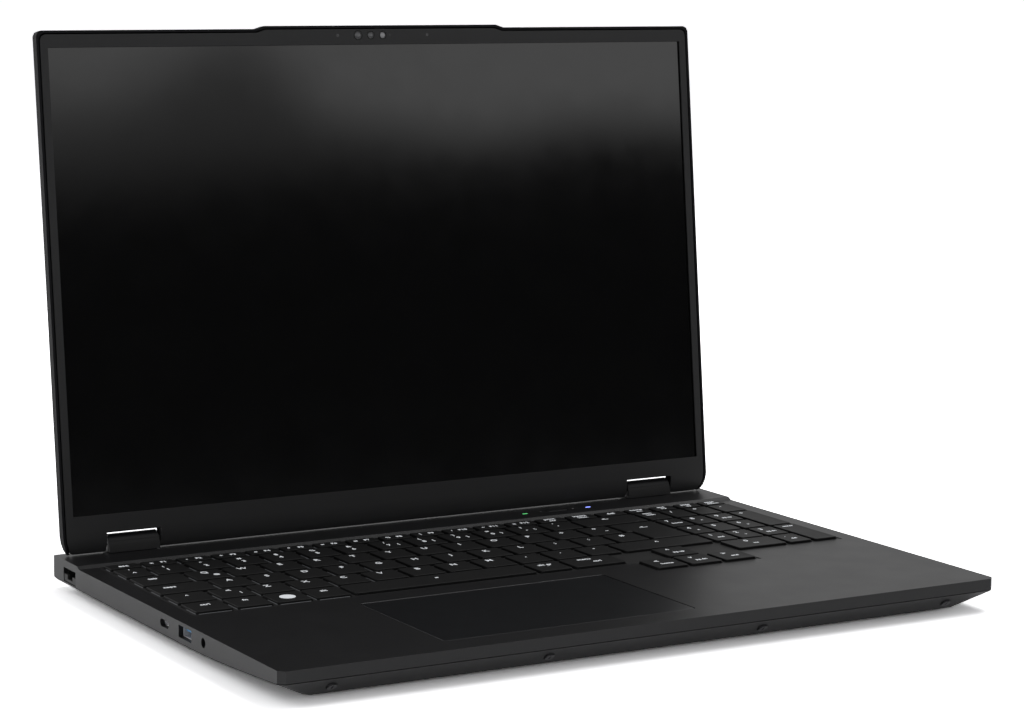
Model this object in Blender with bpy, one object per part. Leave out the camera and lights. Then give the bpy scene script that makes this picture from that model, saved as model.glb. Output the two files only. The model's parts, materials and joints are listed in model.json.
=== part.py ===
"""A sixteen inch laptop computer, standing open.

Every sub-part is one object. Lengths are in metres and +Z is up. The base is drawn from the front
edge of its deck (y = 0) and from the deck's surface (z = 0), and the lid from its hinge axis, with
the lid's height along local Z and its back along local +Y. Two empties put both in the world.
"""

import math
from collections import namedtuple

import bmesh
import bpy
from mathutils import Matrix, Vector

# Base, from its front edge and its deck surface
BASE_WIDTH = 0.3576
BASE_DEPTH = 0.2457
DECK_HEIGHT = 0.0150
WALL = 0.0018
DECK_SKIN = 0.0015
LIP_HEIGHT = 0.0052
SIDE_HEIGHT = 0.0093
REAR_HEIGHT = 0.0073
SIDE_TAPER_END = 0.095
BOTTOM_Z = -0.0135
BOTTOM_SKIN = 0.0013
FRONT_SLOPE_RUN = 0.0093
SIDE_SLOPE_RUN = 0.0155
REAR_SLOPE_RUN = 0.0120
CORNER_CUT = 0.0026
REAR_CORNER_CUT = 0.0040
RIDGE_FOOT_Y = 0.2105
RIDGE_TOP_Y = 0.2130
RIDGE_HEIGHT = 0.0012
REAR_ROUND_Y = 0.2405
GAP = 0.0003

# Lid, from its hinge axis
HINGE_Y = 0.2356
HINGE_Z = 0.0056
LID_LEAN = math.radians(6.13)
LID_HALF_WIDTH = 0.1778
LID_FRONT = -0.00408
LID_BACK = 0.00192
LID_SKIN = 0.0008
LID_RIM = 0.0012
LID_GROOVE = 0.0006
LID_TOP = 0.23684
LID_EDGE_CUT = 0.0014
SCREEN_WIDTH = 0.3447
SCREEN_HEIGHT = 0.2154
SCREEN_BOTTOM = 0.01364
BUMP_HALF_WIDTH = 0.0635
BUMP_SLOPE = 0.0043
BUMP_HEIGHT = 0.0014
LENS_HEIGHT = 0.2335
NOTCH_INNER = 0.1290
NOTCH_OUTER = 0.1562
NOTCH_TOP = 0.0050
CHIN_BOTTOM = -0.0041
CHIN_START = 0.0060
CHIN_ROUND = 0.00448
CHIN_CENTRE_Y = LID_FRONT + CHIN_ROUND
BEZEL_SKIN = 0.0008
LENSES = {
    "infrared_lens": (-0.0134, 0.0020),
    "light_sensor_window": (-0.0065, 0.0017),
    "camera_lens": (0.0, 0.0017),
}
SHUTTER_SLOT = (-0.0037, 0.0072)
SHUTTER_WIDTH = 0.0054

# Hinges: knuckle blocks on the base and arms with shafts in the lid
KNUCKLE_INNER = 0.1300
KNUCKLE_OUTER = 0.1552
KNUCKLE_RADIUS = 0.0030
KNUCKLE_NECK = (0.2330, 0.2385)
KNUCKLE_PLATE_Y = (0.2180, 0.2420)
KNUCKLE_PLATE_Z = (-0.0031, -0.0021)
KNUCKLE_TRIM = 0.0011
SHAFT_RADIUS = 0.0010
SHAFT_INNER = 0.1110
SHAFT_OUTER = 0.1545
BORE_RADIUS = 0.00135
ARM_INNER = 0.1120
ARM_OUTER = 0.1280
ARM_HEIGHT = 0.0400

# Keyboard
KEYS_LEFT = -0.1685
LETTER_KEYS = 12
FIRST_KEY_WIDTHS = {4: 0.0158, 3: 0.0261, 2: 0.0295, 1: 0.0206, 0: 0.0195}
SPACE_KEYS = 5
RIGHT_CONTROL_WIDTH = 0.0290
KEYS_FRONT = 0.1042
KEY_PITCH = 0.0188
ROW_PITCH = 0.0190
TOP_ROW_PITCH = 0.0102
KEY_GAP = 0.0022
KEY_TOP = 0.0010
KEY_CORNER = 0.0008
NUMPAD_LEFT = 0.1103
NUMPAD_PITCH = 0.01475
ARROWS_LEFT = 0.0521
KEY_HOLE_CLEARANCE = 0.00035
WELL_MARGIN = 0.0008
FRAME_TOP = -0.00015
FRAME_BOTTOM = -0.0012
WEB_TOP = -0.0017
WEB_BOTTOM = -0.0023
BACKPLATE_TOP = -0.0040
BACKPLATE_BOTTOM = -0.0045

# Touchpad and power button
TOUCHPAD_X = -0.0360
TOUCHPAD_Y = 0.0522
TOUCHPAD_WIDTH = 0.1230
TOUCHPAD_DEPTH = 0.0754
TOUCHPAD_CLEARANCE = 0.0004
BUTTON_X = 0.0816
BUTTON_Y = 0.2232
BUTTON_HALF_WIDTH = 0.0060
BUTTON_HALF_DEPTH = 0.0016
STATUS_LIGHT_XS = (0.0631, 0.1000)
STATUS_LIGHT_HALF = (0.0013, 0.0006)

# Sockets: the wall each is in, its place along and up it, the opening, and the depth of the module
Port = namedtuple("Port", "wall along height width tall depth")
PORTS = {
    "network_port": Port("left", 0.2221, -0.00545, 0.0146, 0.0066, 0.0160),
    "usb_c_port": Port("left", 0.1131, -0.0044, 0.0090, 0.0033, 0.0064),
    "usb_a_port_left": Port("left", 0.0916, -0.00425, 0.0131, 0.0052, 0.0140),
    "audio_jack": Port("left", 0.0729, -0.0041, 0.0042, 0.0042, 0.0120),
    "usb_a_port_right": Port("right", 0.0916, -0.00425, 0.0131, 0.0052, 0.0140),
    "video_port": Port("rear", 0.0300, -0.0042, 0.0150, 0.0050, 0.0110),
    "power_inlet": Port("rear", -0.0300, -0.0042, 0.0100, 0.0046, 0.0110),
}
PORT_SHELL = 0.0004

# Screws in the front slope of the bottom cover
SLOPE_DROP = -BOTTOM_Z - LIP_HEIGHT - GAP
SLOPE_ANGLE = math.atan2(FRONT_SLOPE_RUN, SLOPE_DROP)
SCREW_XS = (-0.1540, -0.0537, 0.0537, 0.1540)
SCREW_HEAD_RADIUS = 0.0021
SCREW_SHANK_RADIUS = 0.0008

# Feet: left, right, front and back edge
FEET = {
    "front_foot_left": (-0.150, -0.105, 0.024, 0.033),
    "front_foot_right": (0.105, 0.150, 0.024, 0.033),
    "rear_foot": (-0.120, 0.120, 0.2105, 0.2190),
}

# Cooling
FAN_CENTRES = {"left": (-0.1080, 0.1720), "right": (0.1080, 0.1720)}
FAN_TOP = -0.0056
FAN_BOTTOM = -0.0112
FAN_SKIN = 0.0008
FAN_CAVITY_RADIUS = 0.0285
FAN_INTAKE_RADIUS = 0.0200
ROTOR_HUB_RADIUS = 0.0110
ROTOR_RADIUS = 0.0260
ROTOR_TOP = -0.0068
ROTOR_BOTTOM = -0.0100
ROTOR_BLADES = 18
BLADE_SWEEP = 0.0030
SINK_Y = (0.2140, 0.2290)
SINK_FINS = 22
INTAKE_ROWS = 8
INTAKE_PITCH = 0.0075
EXHAUST_SLOTS = 11
EXHAUST_PITCH = 0.0068

# Electronics
BOARD_TOP = -0.0056
BOARD_BOTTOM = -0.0066
BATTERY_HALF_WIDTH = 0.1280
BATTERY_BOTTOM = -0.0115
BATTERY_TOP = -0.0052
BATTERY_CELLS = 4

LENGTH_OVERALL = HINGE_Y + math.sin(LID_LEAN) * LID_TOP + math.cos(LID_LEAN) * LID_BACK


def clear_scene():
    for obj in list(bpy.data.objects):
        bpy.data.objects.remove(obj)


def make_material(name, color, roughness, metallic=0.0):
    material = bpy.data.materials.new(name)
    material.use_nodes = True
    shader = material.node_tree.nodes["Principled BSDF"]
    shader.inputs["Base Color"].default_value = (*color, 1.0)
    shader.inputs["Roughness"].default_value = roughness
    shader.inputs["Metallic"].default_value = metallic
    return material


def add_object(name, bm, material, parent, location=(0, 0, 0)):
    """One object from a bmesh whose points are relative to the location."""
    bmesh.ops.recalc_face_normals(bm, faces=bm.faces)
    mesh = bpy.data.meshes.new(name)
    bm.to_mesh(mesh)
    bm.free()
    mesh.materials.append(material)
    obj = bpy.data.objects.new(name, mesh)
    obj.location = location
    obj.parent = parent
    bpy.context.scene.collection.objects.link(obj)
    return obj


def smooth(obj, degrees=35):
    obj.data.shade_smooth()
    obj.data.set_sharp_from_angle(angle=math.radians(degrees))


def loft(bm, loops):
    """A closed body through loops that have the same number of points."""
    rings = [[bm.verts.new(point) for point in loop] for loop in loops]
    count = len(rings[0])
    for lower, upper in zip(rings, rings[1:]):
        for i in range(count):
            j = (i + 1) % count
            bm.faces.new((lower[i], lower[j], upper[j], upper[i]))
    bm.faces.new(rings[0][::-1])
    bm.faces.new(rings[-1])


def add_box(bm, low, high):
    corners = [(low[0], low[1]), (high[0], low[1]), (high[0], high[1]), (low[0], high[1])]
    loft(bm, [[(x, y, z) for x, y in corners] for z in (low[2], high[2])])


def box_bmesh(low, high):
    bm = bmesh.new()
    add_box(bm, low, high)
    return bm


def prism_z(outline, bottom, top):
    """The outline (x, y) drawn out along Z."""
    bm = bmesh.new()
    loft(bm, [[(x, y, z) for x, y in outline] for z in (bottom, top)])
    return bm


def prism_x(outline, left, right):
    """The outline (y, z) drawn out along X."""
    bm = bmesh.new()
    loft(bm, [[(x, y, z) for y, z in outline] for x in (left, right)])
    return bm


def prism_y(outline, front, back):
    """The outline (x, z) drawn out along Y."""
    bm = bmesh.new()
    loft(bm, [[(x, y, z) for x, z in outline] for y in (front, back)])
    return bm


def circle_points(radius, height, sides):
    circle = [2 * math.pi * i / sides for i in range(sides)]
    return [(radius * math.cos(a), radius * math.sin(a), height) for a in circle]


def moved(points, place):
    return [tuple(place @ Vector(point)) for point in points]


def add_cylinder(bm, radius, low, high, axis="Z", centre=(0, 0, 0), sides=20):
    """A cylinder between two distances along an axis through the centre."""
    turns = {
        "X": Matrix.Rotation(math.pi / 2, 4, "Y"),
        "Y": Matrix.Rotation(-math.pi / 2, 4, "X"),
        "Z": Matrix(),
    }
    place = Matrix.Translation(centre) @ turns[axis]
    circles = [circle_points(radius, z, sides) for z in (low, high)]
    loft(bm, [moved(circle, place) for circle in circles])


def cylinder_bmesh(radius, low, high, axis="Z", centre=(0, 0, 0), sides=20):
    bm = bmesh.new()
    add_cylinder(bm, radius, low, high, axis, centre, sides)
    return bm


def box_object(name, low, high, material, parent):
    """A box whose object sits at its centre."""
    centre = (Vector(low) + Vector(high)) / 2
    return add_object(name, box_bmesh(Vector(low) - centre, Vector(high) - centre), material, parent, centre)


def bevel(obj, width, segments=1, angle=40):
    modifier = obj.modifiers.new("edge_bevel", "BEVEL")
    modifier.width = width
    modifier.segments = segments
    modifier.limit_method = "ANGLE"
    modifier.angle_limit = math.radians(angle)
    return obj


def boolean(obj, helper, operation="DIFFERENCE"):
    """The helper mesh stays in the scene, hidden from renders."""
    helper.hide_render = True
    helper.display_type = "WIRE"
    modifier = obj.modifiers.new(helper.name, "BOOLEAN")
    modifier.operation = operation
    modifier.object = helper
    return obj


def cut(obj, name, bm, parent):
    return boolean(obj, add_object(name, bm, MATERIALS["cutter"], parent))


def unite(obj, name, bm, parent):
    return boolean(obj, add_object(name, bm, MATERIALS["cutter"], parent), "UNION")


def rounded_outline(left, right, front, back, radius, steps=2):
    """A rectangle with its corners rounded, counted from its front left corner."""
    points = []
    corners = [(left, front, 180), (right, front, 270), (right, back, 0), (left, back, 90)]
    for x, y, start in corners:
        cx = x + radius * (1 if x == left else -1)
        cy = y + radius * (1 if y == front else -1)
        for i in range(steps + 1):
            angle = math.radians(start + 90 * i / steps)
            points.append((cx + radius * math.cos(angle), cy + radius * math.sin(angle)))
    return points


# Base shells


def wall_bottom(y):
    """Height of the lower edge of the side wall, which tapers to the lip at the front."""
    taper = math.sin(math.pi / 2 * min(1.0, max(0.0, y / SIDE_TAPER_END)))
    height = LIP_HEIGHT + (SIDE_HEIGHT - LIP_HEIGHT) * taper
    rear = max(0.0, (y - (BASE_DEPTH - 0.008)) / 0.008)
    return -(height + (REAR_HEIGHT - SIDE_HEIGHT) * rear**2)


def side_stations():
    """Distances from the front at which the side edges have points."""
    taper = [SIDE_TAPER_END * i / 8 for i in range(1, 9)]
    return taper + [0.165, BASE_DEPTH - 0.008, BASE_DEPTH - REAR_CORNER_CUT]


def base_outline(inset):
    """Plan outline (x, y), anticlockwise from the front left corner."""
    half = BASE_WIDTH / 2 - inset
    front = inset
    back = BASE_DEPTH - inset
    right = [(half - CORNER_CUT, front), (half, front + CORNER_CUT)]
    right += [(half, y) for y in side_stations()]
    right.append((half - REAR_CORNER_CUT, back))
    return right + [(-x, y) for x, y in reversed(right)]


def shell_profile(inset, top, clearance):
    """Side elevation (y, z) of the upper shell: deck, ridge, raised rear and lower edge."""
    front = inset
    back = BASE_DEPTH - inset
    upper = [
        (front, top),
        (RIDGE_FOOT_Y, top),
        (RIDGE_TOP_Y, top + RIDGE_HEIGHT),
        (REAR_ROUND_Y, top + RIDGE_HEIGHT),
        (back - 0.0012, top + 0.0004),
        (back, top - 0.0006),
    ]
    stations = [back] + [y for y in reversed(side_stations()) if y < back] + [front]
    lower = [(y, wall_bottom(y) - clearance) for y in stations]
    return upper[::-1] + lower[::-1]


def build_top_deck(parent):
    deck = add_object("top_deck", prism_x(shell_profile(0, 0, 0), -BASE_WIDTH / 2, BASE_WIDTH / 2),
                      MATERIALS["deck"], parent)
    plan = add_object("deck_plan", prism_z(base_outline(0), -0.02, 0.01), MATERIALS["cutter"], parent)
    boolean(deck, plan, "INTERSECT")
    inner = BASE_WIDTH / 2 - WALL
    cut(deck, "deck_cavity", prism_x(shell_profile(WALL, -DECK_SKIN, 0.004), -inner, inner), parent)
    cut(deck, "keyboard_opening", prism_z(well_outline(0), -0.01, 0.01), parent)
    half_x = TOUCHPAD_WIDTH / 2 + TOUCHPAD_CLEARANCE
    half_y = TOUCHPAD_DEPTH / 2 + TOUCHPAD_CLEARANCE
    pad = rounded_outline(TOUCHPAD_X - half_x, TOUCHPAD_X + half_x, TOUCHPAD_Y - half_y,
                          TOUCHPAD_Y + half_y, 0.0015)
    cut(deck, "touchpad_opening", prism_z(pad, -0.01, 0.01), parent)
    cut(deck, "small_openings", deck_holes(), parent)
    cut(deck, "port_openings", port_holes(), parent)
    return deck


def deck_holes():
    """Holes for the hinge knuckles, the power button and the status lights."""
    bm = bmesh.new()
    for side in (-1, 1):
        low_x, high_x = sorted((side * (KNUCKLE_INNER + 0.0007), side * (KNUCKLE_OUTER - 0.0007)))
        add_box(bm, (low_x, KNUCKLE_NECK[0] - 0.0004, -0.006), (high_x, KNUCKLE_NECK[1] + 0.0004, 0.006))
    loft(bm, [[(x, y, z) for x, y in button_outline(0.00035)] for z in (-0.006, 0.006)])
    half_x, half_y = (half + GAP for half in STATUS_LIGHT_HALF)
    for x in STATUS_LIGHT_XS:
        add_box(bm, (x - half_x, BUTTON_Y - half_y, -0.006), (x + half_x, BUTTON_Y + half_y, 0.006))
    return bm


def build_bottom_cover(parent):
    """A tray whose rim follows the lower edge of the side wall."""
    outline = base_outline(0)
    half = BASE_WIDTH / 2

    def floor_point(x, y, extra):
        scale_x = (half - SIDE_SLOPE_RUN - extra) / half
        span = BASE_DEPTH - FRONT_SLOPE_RUN - REAR_SLOPE_RUN - 2 * extra
        return x * scale_x, FRONT_SLOPE_RUN + extra + y / BASE_DEPTH * span

    def inner_point(x, y):
        inner_y = WALL + y * (BASE_DEPTH - 2 * WALL) / BASE_DEPTH
        return x * (half - WALL) / half, inner_y, min(wall_bottom(y), wall_bottom(inner_y)) - GAP

    rim = [(x, y, wall_bottom(y) - GAP) for x, y in outline]
    floor = [(*floor_point(x, y, 0), BOTTOM_Z) for x, y in outline]
    inner_floor = [(*floor_point(x, y, 0.0008), BOTTOM_Z + BOTTOM_SKIN) for x, y in outline]
    inner_rim = [inner_point(x, y) for x, y in outline]
    bm = bmesh.new()
    rings = [[bm.verts.new(p) for p in loop] for loop in (inner_floor, inner_rim, rim, floor)]
    for lower, upper in zip(rings, rings[1:]):
        for i in range(len(outline)):
            j = (i + 1) % len(outline)
            bm.faces.new((lower[i], lower[j], upper[j], upper[i]))
    bm.faces.new(rings[0])
    bm.faces.new(rings[-1])
    cover = add_object("bottom_cover", bm, MATERIALS["cover"], parent)
    cut(cover, "intake_slots", intake_slots(), parent)
    cut(cover, "foot_pockets", foot_pockets(), parent)
    cut(cover, "screw_holes", screw_holes(), parent)
    return cover


def intake_slots():
    """Two groups of long slots under the fans."""
    bm = bmesh.new()
    for side in (-1, 1):
        for row in range(INTAKE_ROWS):
            y = 0.146 + INTAKE_PITCH * row
            x_low, x_high = sorted((side * 0.070, side * 0.145))
            add_box(bm, (x_low, y, -0.02), (x_high, y + 0.0030, -0.008))
    return bm


# Screws in the front slope of the bottom cover


def screw_frame(x):
    """Matrix whose -Z points out of the cover's front slope at a screw."""
    place = Vector((x, FRONT_SLOPE_RUN * 0.5, -LIP_HEIGHT - GAP - SLOPE_DROP * 0.5))
    return Matrix.Translation(place) @ Matrix.Rotation(-(math.pi / 2 - SLOPE_ANGLE), 4, "X")


def screw_holes():
    bm = bmesh.new()
    for x in SCREW_XS:
        wide = SCREW_HEAD_RADIUS + 0.0004
        narrow = SCREW_SHANK_RADIUS + GAP
        steps = ((wide, -0.002), (wide, 0.0006), (narrow, 0.0006), (narrow, 0.004))
        place = screw_frame(x)
        loft(bm, [moved(circle_points(radius, z, 16), place) for radius, z in steps])
    return bm


def build_screws(parent):
    steps = (
        (SCREW_SHANK_RADIUS, 0.0030),
        (SCREW_SHANK_RADIUS, 0.0003),
        (SCREW_HEAD_RADIUS, 0.0003),
        (SCREW_HEAD_RADIUS, -0.0002),
        (SCREW_HEAD_RADIUS - 0.0004, -0.0005),
    )
    for index, x in enumerate(SCREW_XS, start=1):
        bm = bmesh.new()
        loft(bm, [circle_points(radius, z, 16) for radius, z in steps])
        screw = add_object(f"cover_screw_{index}", bm, MATERIALS["steel"], parent)
        screw.matrix_local = screw_frame(x)
        recess = bmesh.new()
        cross = cross_outline(0.0012, 0.00028)
        loft(recess, [[(px, py, z) for px, py in cross] for z in (-0.0010, -0.0002)])
        helper = add_object(screw.name + "_recess", recess, MATERIALS["cutter"], parent)
        helper.matrix_local = screw_frame(x)
        boolean(screw, helper)
        smooth(screw)


def cross_outline(reach, half):
    quarter = [(reach, -half), (reach, half), (half, half)]
    points = []
    for turn in range(4):
        points += [turned(x, y, turn * math.pi / 2) for x, y in quarter]
    return points


def turned(x, y, angle):
    return x * math.cos(angle) - y * math.sin(angle), x * math.sin(angle) + y * math.cos(angle)


# Feet


def foot_pockets():
    bm = bmesh.new()
    for left, right, front, back in FEET.values():
        add_box(bm, (left - GAP, front - GAP, BOTTOM_Z - 0.002), (right + GAP, back + GAP, BOTTOM_Z + 0.0006))
    return bm


def build_feet(parent):
    for name, (left, right, front, back) in FEET.items():
        foot = box_object(name, (left, front, -DECK_HEIGHT), (right, back, BOTTOM_Z + 0.0003),
                          MATERIALS["rubber"], parent)
        bevel(foot, 0.0006, 2)


# Hinges


def knuckle_outline():
    """Side elevation (y, z) of the block that carries the hinge shaft."""
    crown = [math.radians(160 - 20 * i) for i in range(6)]
    top = [(HINGE_Y + KNUCKLE_RADIUS * math.cos(a), HINGE_Z + KNUCKLE_RADIUS * math.sin(a)) for a in crown]
    front_foot = [(0.2312, RIDGE_HEIGHT + GAP), (0.2320, 0.0050)]
    back_foot = [(0.2388, 0.0046), (0.2398, RIDGE_HEIGHT + GAP)]
    neck_front, neck_back = KNUCKLE_NECK
    plate_front, plate_back = KNUCKLE_PLATE_Y
    plate_low, plate_high = KNUCKLE_PLATE_Z
    neck = [
        (neck_back, RIDGE_HEIGHT + GAP),
        (neck_back, plate_high),
        (plate_back, plate_high),
        (plate_back, plate_low),
        (plate_front, plate_low),
        (plate_front, plate_high),
        (neck_front, plate_high),
        (neck_front, RIDGE_HEIGHT + GAP),
    ]
    return front_foot + top + back_foot + neck


def build_hinge_base(name, side, parent):
    low, high = sorted((side * KNUCKLE_INNER, side * KNUCKLE_OUTER))
    base = add_object(name, prism_x(knuckle_outline(), low, high), MATERIALS["knuckle"], parent)
    trim = bmesh.new()
    for edge, inward in ((low, 1), (high, -1)):
        x0, x1 = sorted((edge - inward * 0.001, edge + inward * KNUCKLE_TRIM))
        add_box(trim, (x0, KNUCKLE_PLATE_Y[0] - 0.001, KNUCKLE_PLATE_Z[0] - 0.001),
                (x1, KNUCKLE_PLATE_Y[1] + 0.001, RIDGE_HEIGHT + GAP))
    cut(base, name + "_trim", trim, parent)
    bore = cylinder_bmesh(BORE_RADIUS, low - 0.001, high + 0.001, "X", (0, HINGE_Y, HINGE_Z))
    cut(base, name + "_bore", bore, parent)
    return base


def build_hinge_arm(name, side, parent):
    """The lid's half of a hinge: a flat arm with the shaft that turns in the knuckle."""
    low, high = sorted((side * SHAFT_INNER, side * SHAFT_OUTER))
    shaft = cylinder_bmesh(SHAFT_RADIUS, low, high, "X", sides=16)
    arm = add_object(name, shaft, MATERIALS["steel"], parent)
    narrow_top = ARM_OUTER - (ARM_OUTER - ARM_INNER) * 0.3
    corners = [(ARM_INNER, -0.0006), (ARM_OUTER, -0.0006), (ARM_OUTER, 0.0060), (narrow_top, ARM_HEIGHT),
               (ARM_INNER, ARM_HEIGHT)]
    outline = [(side * x, z) for x, z in corners]
    unite(arm, name + "_plate", prism_y(outline, 0.0001, 0.0008), parent)
    return arm


# Lid


def lid_outline(inset):
    """Front outline (x, z) of the lid, with the camera bump, its upper and its lower corners."""
    half = LID_HALF_WIDTH - inset
    top = LID_TOP - inset
    bump = BUMP_HALF_WIDTH - inset * 0.4
    right = [
        (half - 0.0030, CHIN_BOTTOM),
        (half - 0.0014, CHIN_BOTTOM + 0.0027),
        (half - 0.0004, CHIN_BOTTOM + 0.0058),
        (half, CHIN_BOTTOM + 0.0090),
        (half, top - 0.0026),
        (half - 0.0008, top - 0.0008),
        (half - 0.0026, top),
        (bump + BUMP_SLOPE, top),
        (bump, top + BUMP_HEIGHT),
    ]
    return right + [(-x, z) for x, z in reversed(right)]


def chin_curve(skin, steps):
    """Quarter of an ellipse (y, z) that rounds the lid's lower front edge back under it."""
    angles = [math.radians(15 * i) for i in range(steps)]
    depth = CHIN_ROUND - skin
    height = CHIN_START - CHIN_BOTTOM - skin
    return [(CHIN_CENTRE_Y - depth * math.cos(a), CHIN_START - height * math.sin(a)) for a in angles]


def lid_profile():
    """Side elevation (y, z) of the whole lid."""
    rear = [(LID_BACK - 0.0007, CHIN_BOTTOM + 0.0010), (LID_BACK - 0.0001, CHIN_BOTTOM + 0.0035),
            (LID_BACK, 0.0045)]
    return [(LID_FRONT, LID_TOP + 0.01)] + chin_curve(0, 7) + rear + [(LID_BACK, LID_TOP + 0.01)]


def notch_bmesh():
    """Room for the knuckles in the lid's lower edge."""
    bm = bmesh.new()
    for side in (-1, 1):
        low, high = sorted((side * NOTCH_INNER, side * NOTCH_OUTER))
        add_box(bm, (low, -0.01, -0.01), (high, 0.01, NOTCH_TOP))
    return bm


def build_lid_cover(parent):
    """A tray: the back plate with a rim around the display and down both ends of the chin."""
    cover = add_object("lid_back_cover", prism_x(lid_profile(), -0.2, 0.2), MATERIALS["lid"], parent)
    outline = lid_outline(0)
    cut_outline = lid_outline(LID_EDGE_CUT)
    bm = bmesh.new()
    loft(bm, [[(x, y, z) for x, z in loop] for loop, y in
              ((outline, -0.01), (outline, LID_BACK - LID_EDGE_CUT), (cut_outline, LID_BACK),
               (cut_outline, 0.01))])
    boolean(cover, add_object("lid_plan", bm, MATERIALS["cutter"], parent), "INTERSECT")
    tray = prism_y(lid_outline(LID_RIM), -0.02, LID_BACK - LID_SKIN)
    cut(cover, "lid_tray", tray, parent)
    cut(cover, "lid_notches", notch_bmesh(), parent)
    shafts = bmesh.new()
    for side in (-1, 1):
        low, high = sorted((side * (SHAFT_INNER - 0.0005), side * (NOTCH_INNER + 0.001)))
        add_cylinder(shafts, BORE_RADIUS, low, high, "X")
    cut(cover, "lid_shaft_room", shafts, parent)
    slot = box_bmesh((SHUTTER_SLOT[0], LID_FRONT + 0.0010, LID_TOP - 0.004),
                     (SHUTTER_SLOT[1], LID_FRONT + 0.0026, LID_TOP + 0.004))
    cut(cover, "shutter_slot", slot, parent)
    return cover


def build_bezel(parent):
    """The display's front frame with its rounded chin."""
    front_face = [(LID_FRONT, LID_TOP + 0.005)] + chin_curve(0, 6)
    back_face = chin_curve(BEZEL_SKIN, 6)[::-1] + [(LID_FRONT + BEZEL_SKIN, LID_TOP + 0.005)]
    skin = prism_x(front_face + back_face, -0.2, 0.2)
    bezel = add_object("display_bezel", skin, MATERIALS["bezel"], parent)
    plan = prism_y(lid_outline(LID_RIM + LID_GROOVE), -0.01, 0.01)
    boolean(bezel, add_object("bezel_plan", plan, MATERIALS["cutter"], parent), "INTERSECT")
    opening = box_bmesh((-SCREEN_WIDTH / 2, -0.01, SCREEN_BOTTOM),
                        (SCREEN_WIDTH / 2, 0.01, SCREEN_BOTTOM + SCREEN_HEIGHT))
    cut(bezel, "screen_opening", opening, parent)
    cut(bezel, "bezel_notches", notch_bmesh(), parent)
    holes = bmesh.new()
    for x, radius in LENSES.values():
        add_cylinder(holes, radius + GAP, -0.006, 0.0, "Y", (x, 0, LENS_HEIGHT))
    cut(bezel, "lens_holes", holes, parent)
    return bezel


def build_lid(parent):
    build_lid_cover(parent)
    build_bezel(parent)
    box_object("display_panel", (-0.1745, -0.0030, 0.0085), (0.1745, -0.0003, 0.2310),
               MATERIALS["screen"], parent)
    box_object("webcam_board", (-0.0290, -0.0022, 0.2315), (0.0290, -0.0014, 0.2352),
               MATERIALS["board"], parent)
    for name, (x, radius) in LENSES.items():
        disc = cylinder_bmesh(radius, -0.0008, 0.0006, "Y")
        smooth(add_object(name, disc, MATERIALS["lens"], parent, (x, LID_FRONT + 0.0009, LENS_HEIGHT)))
    left = SHUTTER_SLOT[0] + GAP
    slider = box_object("camera_shutter", (left, LID_FRONT + 0.0013, LID_TOP - 0.0002),
                        (left + SHUTTER_WIDTH, LID_FRONT + 0.0023, LID_TOP + BUMP_HEIGHT - 0.0001),
                        MATERIALS["shutter"], parent)
    bevel(slider, 0.0002)
    build_hinge_arm("hinge_arm_left", -1, parent)
    build_hinge_arm("hinge_arm_right", 1, parent)


# Keyboard


def row_front(row):
    """Front edge of a row of keys: -1 holds the lower arrows, 0 the space bar, 5 the function keys."""
    return KEYS_FRONT + row * ROW_PITCH


def run_of_keys(left, widths, front, depth):
    """Key cells side by side as (left, right, front, back)."""
    cells = []
    for width in widths:
        cells.append((left, left + width, front, front + depth))
        left += width
    return cells


def key_groups():
    """Key cells by the name of the node that carries them."""
    main_width = NUMPAD_LEFT - KEYS_LEFT
    letters = [KEY_PITCH] * LETTER_KEYS
    first = FIRST_KEY_WIDTHS
    backspace = main_width - first[4] - LETTER_KEYS * KEY_PITCH
    right_shift = main_width - first[1] - (LETTER_KEYS - 1) * KEY_PITCH
    function_widths = [main_width / 16] * 16 + [NUMPAD_PITCH] * 4
    row_widths = {
        "keys_number_row": (4, [first[4], *letters, backspace]),
        "keys_upper_row": (3, [first[3], *letters]),
        "keys_home_row": (2, [first[2], *letters]),
        "keys_lower_row": (1, [first[1], *letters[1:], right_shift]),
        "keys_bottom_left": (0, [first[0], *letters[:3]]),
    }
    groups = {"keys_function_row": run_of_keys(KEYS_LEFT, function_widths, row_front(5), TOP_ROW_PITCH)}
    for name, (row, widths) in row_widths.items():
        groups[name] = run_of_keys(KEYS_LEFT, widths, row_front(row), ROW_PITCH)
    space_left = KEYS_LEFT + first[0] + 3 * KEY_PITCH
    space_right = space_left + SPACE_KEYS * KEY_PITCH
    groups["space_bar"] = run_of_keys(space_left, [space_right - space_left], row_front(0), ROW_PITCH)
    groups["keys_bottom_right"] = run_of_keys(space_right, [KEY_PITCH, RIGHT_CONTROL_WIDTH], row_front(0),
                                              ROW_PITCH)
    lower_arrows = run_of_keys(ARROWS_LEFT, [KEY_PITCH] * 3, row_front(-1), ROW_PITCH)
    up_arrow = run_of_keys(ARROWS_LEFT + KEY_PITCH, [KEY_PITCH], row_front(0), ROW_PITCH)
    groups["keys_arrows"] = up_arrow + lower_arrows
    numpad = run_of_keys(NUMPAD_LEFT, [NUMPAD_PITCH] * 4, row_front(4), ROW_PITCH)
    for row in (1, 2, 3):
        numpad += run_of_keys(NUMPAD_LEFT, [NUMPAD_PITCH] * 3, row_front(row), ROW_PITCH)
    numpad += run_of_keys(NUMPAD_LEFT, [2 * NUMPAD_PITCH, NUMPAD_PITCH], row_front(0), ROW_PITCH)
    for row in (2, 0):
        numpad += run_of_keys(NUMPAD_LEFT + 3 * NUMPAD_PITCH, [NUMPAD_PITCH], row_front(row), 2 * ROW_PITCH)
    groups["keys_numpad"] = numpad
    return groups


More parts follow.
